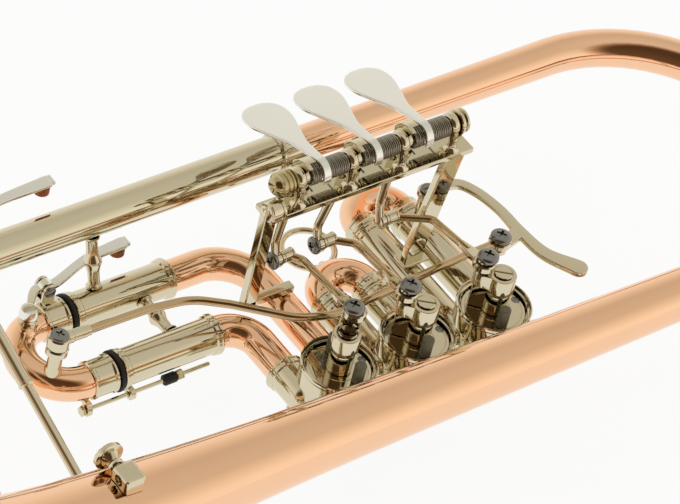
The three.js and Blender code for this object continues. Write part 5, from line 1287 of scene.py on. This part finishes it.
class TRUMPET_OT_studio(bpy.types.Operator):
    """The pale floor, the soft lamps and the camera at the photograph's angle."""

    bl_idname = "trumpet.studio"
    bl_label = "Studio"

    def execute(self, context):
        clear_selection()
        bpy.ops.mesh.primitive_plane_add(size=9, location=(0, 0, CAD_BOUNDS[0].z - 0.0005))
        floor = bpy.context.object
        floor.name = "studio_floor"
        settle(floor)
        floor.data.materials.append(floor_paper(context.scene.trumpet_finishes.floor))

        scene = context.scene
        scene.view_settings.view_transform = "Standard"
        scene.world = studio_world()
        centre = at(0, 20, 0)
        lamps = (
            ("key", (-1.5, -0.2, 1.9), 1.4, 7.5),
            ("fill", (1.5, -0.9, 1.2), 1.4, 5.5),
            ("back", (-0.3, 1.7, 1.3), 1.2, 4.5),
        )
        for name, offset, width, power in lamps:
            place = centre + Vector(offset)
            bpy.ops.object.light_add(type="AREA", location=place)
            lamp = bpy.context.object
            lamp.name = f"lamp_{name}"
            lamp.data.shape = "RECTANGLE"
            lamp.data.size = width
            lamp.data.size_y = width * 0.7
            lamp.data.energy = power
            lamp.visible_glossy = False
            lamp.rotation_euler = (centre - place).to_track_quat("-Z", "Y").to_euler()

        # Fitted to the photograph: turn, rise and roll in degrees, distance and shifts in millimetres
        turn, rise, roll = (math.radians(angle) for angle in (-45.48, 43.047, 14.477))
        distance, shift_right, shift_up = 1619.9, -24.153, 38.992
        focal_pixels, picture_width, sensor_width = 4653, 680, 36
        ahead = Vector((-math.sin(turn) * math.cos(rise), math.cos(turn) * math.cos(rise), -math.sin(rise)))
        right = Vector((math.cos(turn), math.sin(turn), 0))
        top = right.cross(ahead)
        tilted_right = right * math.cos(roll) + top * math.sin(roll)
        tilted_top = top * math.cos(roll) - right * math.sin(roll)
        spot = at(0, 0, 0) + (ahead * -distance + tilted_right * shift_right + tilted_top * shift_up) * MM
        bpy.ops.object.camera_add(location=spot)
        camera = bpy.context.object
        camera.name = "photo_camera"
        columns = Matrix((tilted_right, tilted_top, -ahead)).transposed()
        camera.rotation_euler = columns.to_euler()
        camera.data.sensor_width = sensor_width
        camera.data.lens = focal_pixels / picture_width * sensor_width
        scene.camera = camera
        return {"FINISHED"}


def maths(tree, operation, first, second, **settings):
    """A sum or product of two values."""
    node = add_node(tree, "ShaderNodeMath", [(0, first), (1, second)], operation=operation, **settings)
    return node.outputs[0]


def blended(tree, factor, first, second, **settings):
    """A blend of two colours."""
    inputs = [("Factor", factor), (6, first), (7, second)]
    return add_node(tree, "ShaderNodeMix", inputs, data_type="RGBA", **settings).outputs[2]


def floor_paper(colour):
    """Matt white paper: it takes the shadow softly and shows as white to the eye and in the metal."""
    made, tree, output = blank_material("studio_paper")
    paper = add_node(tree, "ShaderNodeBsdfDiffuse", [("Color", (*colour, 1)), ("Roughness", 0.8)])
    seen = add_node(tree, "ShaderNodeLightPath").outputs
    either = maths(tree, "ADD", seen["Is Camera Ray"], seen["Is Glossy Ray"])
    any_ray = maths(tree, "ADD", either, seen["Is Transmission Ray"], use_clamp=True)
    share = maths(tree, "MULTIPLY", any_ray, 0.92)
    glow = add_node(tree, "ShaderNodeEmission", [("Color", (1, 1, 1, 1)), ("Strength", 1.0)])
    mixed = add_node(tree, "ShaderNodeMixShader", [(0, share), (1, paper.outputs[0]), (2, glow.outputs[0])])
    tree.links.new(mixed.outputs[0], output.inputs["Surface"])
    return made


def studio_world():
    """A light tent round the object: bright low down, greyer overhead, dark and warm at the lens."""
    world = bpy.data.worlds.new("studio_room")
    world.use_nodes = True
    tree = world.node_tree
    tree.nodes.clear()
    output = tree.nodes.new("ShaderNodeOutputWorld")
    way = add_node(tree, "ShaderNodeTexCoord").outputs["Generated"]
    parts = add_node(tree, "ShaderNodeSeparateXYZ", [("Vector", way)])
    ramp = add_node(tree, "ShaderNodeValToRGB", [("Fac", parts.outputs["Z"])])
    stops = (
        (0, "fffdf8"), (0.25, "fdfaf3"), (0.52, "ece7dc"), (0.72, "d8d3c8"), (0.85, "d8d5cc"), (1, "dedbd4")
    )
    for place, colour in stops:
        stop = ramp.color_ramp.elements.new(place)
        stop.color = (*linear(colour), 1)
    # A new ramp comes with a black and a white stop, which go
    plain = ((0, 0, 0, 1), (1, 1, 1, 1))
    for _ in range(2):
        spare = [stop for stop in ramp.color_ramp.elements if tuple(stop.color) in plain]
        ramp.color_ramp.elements.remove(spare[0])
    toward_lens = [(0, way), (1, (-0.62, -0.61, 0.49))]
    lens = add_node(tree, "ShaderNodeVectorMath", toward_lens, operation="DOT_PRODUCT")
    soft = {"interpolation_type": "SMOOTHSTEP"}
    shade = mapped(tree, lens.outputs["Value"], (0.5, 0.8), (1.0, 0.12), **soft)
    near = mapped(tree, parts.outputs["Y"], (-0.6, 0.4), (1.06, 0.96), **soft)
    warmth = blended(tree, shade, (1.0, 0.62, 0.34, 1), (1, 1, 1, 1))
    tinted = blended(tree, 1.0, ramp.outputs["Color"], warmth, blend_type="MULTIPLY")
    strength = maths(tree, "MULTIPLY", shade, near)
    room = add_node(tree, "ShaderNodeBackground", [("Color", tinted), ("Strength", strength)])
    white = add_node(tree, "ShaderNodeBackground", [("Color", (1, 1, 1, 1)), ("Strength", 1.0)])
    seen = add_node(tree, "ShaderNodeLightPath")
    choice = [(0, seen.outputs["Is Camera Ray"]), (1, room.outputs[0]), (2, white.outputs[0])]
    mixed = add_node(tree, "ShaderNodeMixShader", choice)
    tree.links.new(mixed.outputs[0], output.inputs["Surface"])
    return world


class TRUMPET_PT_panel(bpy.types.Panel):
    """Lists the pieces of the trumpet."""

    bl_idname = "TRUMPET_PT_panel"
    bl_label = "Rotary valve trumpet"
    bl_space_type = "VIEW_3D"
    bl_region_type = "UI"
    bl_category = "Trumpet"

    def draw(self, context):
        layout = self.layout
        for group in (context.scene.trumpet_sizes, context.scene.trumpet_finishes):
            for key in group.__annotations__:
                layout.prop(group, key)
        for operator in OPERATORS:
            layout.operator(operator.bl_idname)


OPERATORS = (
    TRUMPET_OT_bell,
    TRUMPET_OT_main_slide,
    TRUMPET_OT_leadpipe,
    TRUMPET_OT_casings,
    TRUMPET_OT_valve_tops,
    TRUMPET_OT_paddles,
    TRUMPET_OT_springs,
    TRUMPET_OT_link_rods,
    TRUMPET_OT_frame,
    TRUMPET_OT_valve_slides,
    TRUMPET_OT_third_slide,
    TRUMPET_OT_trigger,
    TRUMPET_OT_water_keys,
    TRUMPET_OT_stays,
    TRUMPET_OT_lyre,
    TRUMPET_OT_studio,
)
CLASSES = (TrumpetSizes, TrumpetFinishes, *OPERATORS, TRUMPET_PT_panel)


def register():
    """Adds the trumpet's settings, operators and panel."""
    for item in CLASSES:
        bpy.utils.register_class(item)
    bpy.types.Scene.trumpet_sizes = PointerProperty(type=TrumpetSizes)
    bpy.types.Scene.trumpet_finishes = PointerProperty(type=TrumpetFinishes)


def unregister():
    """Takes them away again."""
    del bpy.types.Scene.trumpet_finishes
    del bpy.types.Scene.trumpet_sizes
    for item in reversed(CLASSES):
        bpy.utils.unregister_class(item)


def main():
    """Builds every piece and the studio."""
    register()
    FINISH.update(make_finishes())
    for operator in OPERATORS:
        group, name = operator.bl_idname.split(".")
        getattr(getattr(bpy.ops, group), name)()
    clear_selection()


if __name__ == "__main__":
    main()
